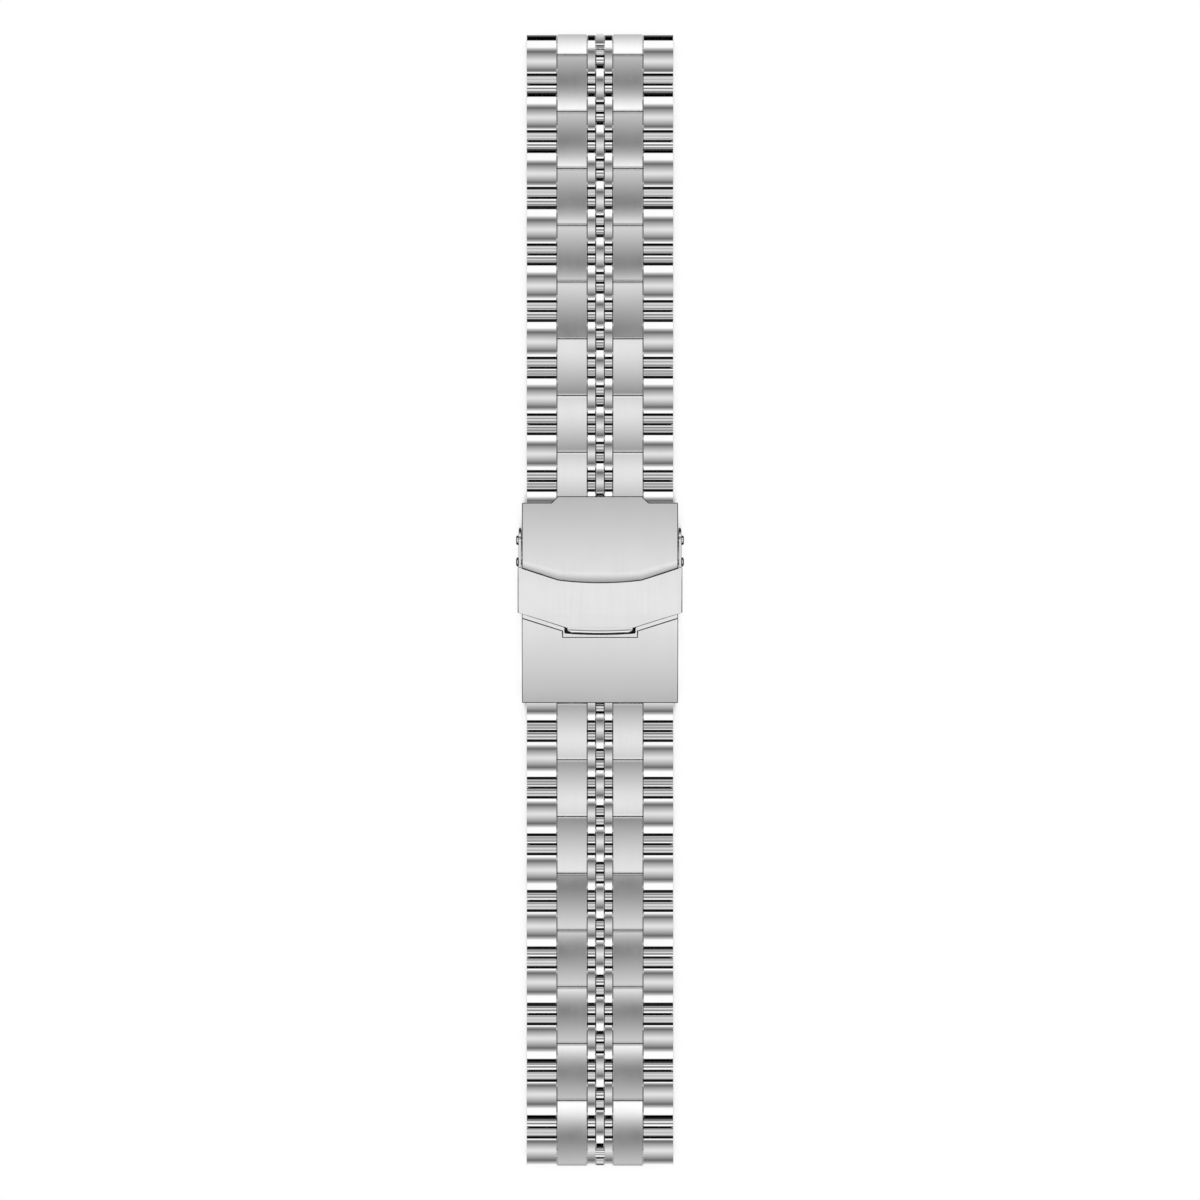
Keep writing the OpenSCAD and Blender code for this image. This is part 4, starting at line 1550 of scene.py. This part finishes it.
# The tent's brightness at angles from straight above, in degrees: in its middle and towards its ends
TENT_STRIPES = (
    (0.0, 0.93), (3.0, 0.88), (8.6, 0.72), (14.3, 0.55), (20.1, 0.38), (24.5, 0.24),
    (27.0, 0.17), (28.6, 0.21), (30.0, 0.30), (32.0, 0.40), (34.8, 0.60), (38.0, 1.0),
    (40.0, 1.2), (56.0, 1.2), (58.0, 0.9), (59.0, 0.03), (60.0, 0.0), (90.0, 0.0),
)
TENT_PLAIN = (
    (0.0, 0.95), (10.0, 0.85), (20.0, 0.6), (30.0, 0.5),
    (42.0, 0.9), (55.0, 0.5), (66.0, 0.55), (90.0, 0.7),
)
# Between these angles, as shares of a right angle, the stripes draw in to the middle
NARROWS = (50 / 90, 58 / 90)
# Distances from the middle at which the stripes begin to fade and are gone, below and above those angles
STRIPES_FADE_FROM = (0.10, 0.025)
STRIPES_GONE_AT = (0.30, 0.045)
TENT_STEPS = 96
# Height up to which the end cloths grow brighter, and their levels at the floor and there
CLOTH_HEIGHT = 0.6
CLOTH_LEVELS = (0.35, 0.9)
# How far the floor looks for what covers it, the open shares at which its painted shadow is dark and gone,
# and how dark
GAP_REACH = 0.003
GAP_OPENNESS = (0.43, 0.51)
GAP_LEVEL = 0.02
# Colour of the floor as it lights the steel from below
FLOOR_PAINT = (0.8, 0.8, 0.8, 1.0)
# Level of the surroundings as a light; where they are seen, they are white
WORLD_LEVEL = 0.6


def light_ramp(n, angle, stops):
    """Brightness against the angle from straight above, given in degrees."""
    ramp = n.add("ShaderNodeValToRGB", {0: angle})
    elements = ramp.color_ramp.elements
    while len(elements) < len(stops):
        elements.new(1.0)
    for element, (degrees, value) in zip(elements, stops):
        element.position = degrees / 90
        element.color = (value, value, value, 1.0)
    return ramp.outputs[0]


def glowing(n, colour):
    """Ends a material's tree with a glow of that colour."""
    glow = n.add("ShaderNodeEmission", {"Color": colour, "Strength": 1.0})
    n.add("ShaderNodeOutputMaterial", {0: glow.outputs[0]})


def tent_material():
    """Light cloth with dark gaps, as bright as its angle above the band asks."""
    material, n = new_material("light tent")
    place = n.add("ShaderNodeTexCoord").outputs["Object"]
    place = n.add("ShaderNodeSeparateXYZ", {0: place}).outputs
    aside = n.math("ABSOLUTE", place[1])
    angle = n.math("DIVIDE", n.math("ARCTAN2", aside, place[2]), math.pi / 2)
    across = n.math("ABSOLUTE", place[0])
    near = n.ease(angle, *NARROWS, *STRIPES_FADE_FROM)
    far = n.ease(angle, *NARROWS, *STRIPES_GONE_AT)
    blend = n.ease(across, near, far, 0.0, 1.0, **SMOOTH)
    glowing(n, n.mix(blend, light_ramp(n, angle, TENT_STRIPES), light_ramp(n, angle, TENT_PLAIN)))
    return material


def end_cloth_material():
    """The soft cloth at both ends of the tent, darker near the floor."""
    material, n = new_material("end cloth")
    place = n.add("ShaderNodeTexCoord").outputs["Object"]
    height = n.add("ShaderNodeSeparateXYZ", {0: place}).outputs[2]
    glowing(n, n.ease(height, 0.0, CLOTH_HEIGHT, *CLOTH_LEVELS))
    return material


def build_tent(s):
    """A half-round light tent over the band, which the camera doesn't see."""
    bm = bmesh.new()
    half = s.tent_length / 2
    sides = []
    for x in (-half, half):
        ring = []
        for i in range(TENT_STEPS + 1):
            angle = math.pi * i / TENT_STEPS
            ring.append(bm.verts.new((x, s.tent_radius * math.cos(angle), s.tent_radius * math.sin(angle))))
        sides.append(ring)
    for i in range(TENT_STEPS):
        bm.faces.new((sides[0][i], sides[0][i + 1], sides[1][i + 1], sides[1][i]))
    for ring in sides:
        bm.faces.new(ring).material_index = 1
    tent = add_object("light_tent", mesh_of("light_tent", bm))
    tent.data.materials.append(tent_material())
    tent.data.materials.append(end_cloth_material())
    tent.visible_camera = False
    tent.visible_shadow = False
    for material in tent.data.materials:
        material.cycles.emission_sampling = "NONE"


def seen_directly(n):
    """1 for what the camera, a gloss or a glass shows, and 0 for the light on things."""
    rays = n.add("ShaderNodeLightPath").outputs
    seen = n.math("ADD", rays["Is Camera Ray"], rays["Is Glossy Ray"])
    return n.math("MINIMUM", n.math("ADD", seen, rays["Is Transmission Ray"]), 1.0)


def floor_material():
    """White floor with painted shadow in narrow gaps and where the band lies on it."""
    material, n = new_material("white floor")
    near = n.add("ShaderNodeAmbientOcclusion", {"Distance": GAP_REACH}, samples=8)
    shadow = n.ease(near.outputs["AO"], *GAP_OPENNESS, GAP_LEVEL, 1.0)
    white = n.add("ShaderNodeEmission", {"Color": WHITE, "Strength": shadow})
    paint = n.add("ShaderNodeBsdfDiffuse", {"Color": FLOOR_PAINT})
    mix = n.add("ShaderNodeMixShader", {0: seen_directly(n), 1: paint.outputs[0], 2: white.outputs[0]})
    n.add("ShaderNodeOutputMaterial", {0: mix.outputs[0]})
    return material


def build_floor(s):
    """The white floor just under the band, one large triangle."""
    bm = bmesh.new()
    side = s.floor_size
    for x, y in ((0.0, side), (-side, -side / 2), (side, -side / 2)):
        bm.verts.new((x, y, -s.floor_drop))
    bm.faces.new(bm.verts)
    floor = add_object("white_floor", mesh_of("white_floor", bm))
    floor.data.materials.append(floor_material())


def build_world():
    """White surroundings for what the camera and the steel see of them."""
    world = bpy.data.worlds.new("white surroundings")
    bpy.context.scene.world = world
    world.use_nodes = True
    world.node_tree.nodes.clear()
    n = Nodes(world.node_tree)
    level = n.math("MULTIPLY_ADD", seen_directly(n), 1.0 - WORLD_LEVEL, WORLD_LEVEL)
    sky = n.add("ShaderNodeBackground", {"Color": WHITE, "Strength": level})
    n.add("ShaderNodeOutputWorld", {0: sky.outputs[0]})


def build_camera(s, band, sensor=36.0):
    """A long lens straight above the band."""
    data = bpy.data.cameras.new("camera")
    data.sensor_width = sensor
    data.lens = sensor * (s.camera_height - band.link_height) / s.picture_width
    data.clip_start, data.clip_end = 0.01, 10.0
    camera = bpy.data.objects.new("camera", data)
    bpy.context.scene.collection.objects.link(camera)
    camera.location = (0.0, 0.0, s.camera_height)
    bpy.context.scene.camera = camera
    bpy.context.scene.view_settings.view_transform = "Standard"


class BRACELET_OT_materials(Operator):
    """Makes the steels of the bracelet"""

    bl_idname = "bracelet.materials"
    bl_label = "Steel Finishes"

    def execute(self, context):
        build_materials(context.scene.bracelet_finishes)
        return {"FINISHED"}


class BRACELET_OT_outer_rows(Operator):
    """Builds the rows of outer links and side beads"""

    bl_idname = "bracelet.outer_rows"
    bl_label = "Outer Rows"

    def execute(self, context):
        build_outer_rows(context.scene.bracelet_band)
        return {"FINISHED"}


class BRACELET_OT_inner_rows(Operator):
    """Builds the rows of brushed plates and centre beads"""

    bl_idname = "bracelet.inner_rows"
    bl_label = "Inner Rows"

    def execute(self, context):
        build_inner_rows(context.scene.bracelet_band)
        return {"FINISHED"}


class BRACELET_OT_end_links(Operator):
    """Builds the two end links with their lug bores"""

    bl_idname = "bracelet.end_links"
    bl_label = "End Links"

    def execute(self, context):
        build_end_links(context.scene.bracelet_band)
        return {"FINISHED"}


class BRACELET_OT_cover(Operator):
    """Builds the clasp's cover and the block under its roof"""

    bl_idname = "bracelet.cover"
    bl_label = "Clasp Cover"

    def execute(self, context):
        build_cover(context.scene.bracelet_clasp, context.scene.bracelet_pad)
        return {"FINISHED"}


class BRACELET_OT_flap(Operator):
    """Builds the safety flap and its rivets"""

    bl_idname = "bracelet.flap"
    bl_label = "Safety Flap"

    def execute(self, context):
        build_flap(context.scene.bracelet_clasp, context.scene.bracelet_pad)
        return {"FINISHED"}


class BRACELET_OT_buttons(Operator):
    """Builds the push buttons and their springs"""

    bl_idname = "bracelet.buttons"
    bl_label = "Push Buttons"

    def execute(self, context):
        build_buttons(context.scene.bracelet_clasp)
        return {"FINISHED"}


class BRACELET_OT_blades(Operator):
    """Builds the folding blades with their pins and posts"""

    bl_idname = "bracelet.blades"
    bl_label = "Folding Blades"

    def execute(self, context):
        build_blades(context.scene.bracelet_clasp)
        return {"FINISHED"}


class BRACELET_OT_studio(Operator):
    """Sets up the floor, the light tent and the camera"""

    bl_idname = "bracelet.studio"
    bl_label = "Studio"

    def execute(self, context):
        studio = context.scene.bracelet_studio
        build_floor(studio)
        build_tent(studio)
        build_world()
        build_camera(studio, context.scene.bracelet_band)
        return {"FINISHED"}


class BRACELET_PT_panel(Panel):
    """Lists the bracelet's pieces"""

    bl_idname = "BRACELET_PT_panel"
    bl_label = "Link Bracelet"
    bl_space_type = "VIEW_3D"
    bl_region_type = "UI"
    bl_category = "Bracelet"

    def draw(self, context):
        for operator in OPERATORS:
            self.layout.operator(operator.bl_idname)
        for name, kind in GROUPS.items():
            box = self.layout.box()
            for label in kind.__annotations__:
                box.prop(getattr(context.scene, name), label)


OPERATORS = (
    BRACELET_OT_materials,
    BRACELET_OT_outer_rows,
    BRACELET_OT_inner_rows,
    BRACELET_OT_end_links,
    BRACELET_OT_cover,
    BRACELET_OT_flap,
    BRACELET_OT_buttons,
    BRACELET_OT_blades,
    BRACELET_OT_studio,
)
GROUPS = {
    "bracelet_band": BandSizes,
    "bracelet_clasp": ClaspSizes,
    "bracelet_pad": PadSizes,
    "bracelet_finishes": Finishes,
    "bracelet_studio": StudioSizes,
}


def register():
    """Registers the classes and their settings."""
    for name, group in GROUPS.items():
        bpy.utils.register_class(group)
        setattr(bpy.types.Scene, name, PointerProperty(type=group))
    for operator in OPERATORS:
        bpy.utils.register_class(operator)
    bpy.utils.register_class(BRACELET_PT_panel)


def unregister():
    """Removes the classes and their settings."""
    bpy.utils.unregister_class(BRACELET_PT_panel)
    for operator in reversed(OPERATORS):
        bpy.utils.unregister_class(operator)
    for name, group in reversed(GROUPS.items()):
        delattr(bpy.types.Scene, name)
        bpy.utils.unregister_class(group)


def main():
    """Builds everything."""
    register()
    bpy.ops.bracelet.materials()
    bpy.ops.bracelet.outer_rows()
    bpy.ops.bracelet.inner_rows()
    bpy.ops.bracelet.end_links()
    bpy.ops.bracelet.cover()
    bpy.ops.bracelet.flap()
    bpy.ops.bracelet.buttons()
    bpy.ops.bracelet.blades()
    bpy.ops.bracelet.studio()


if __name__ == "__main__":
    main()
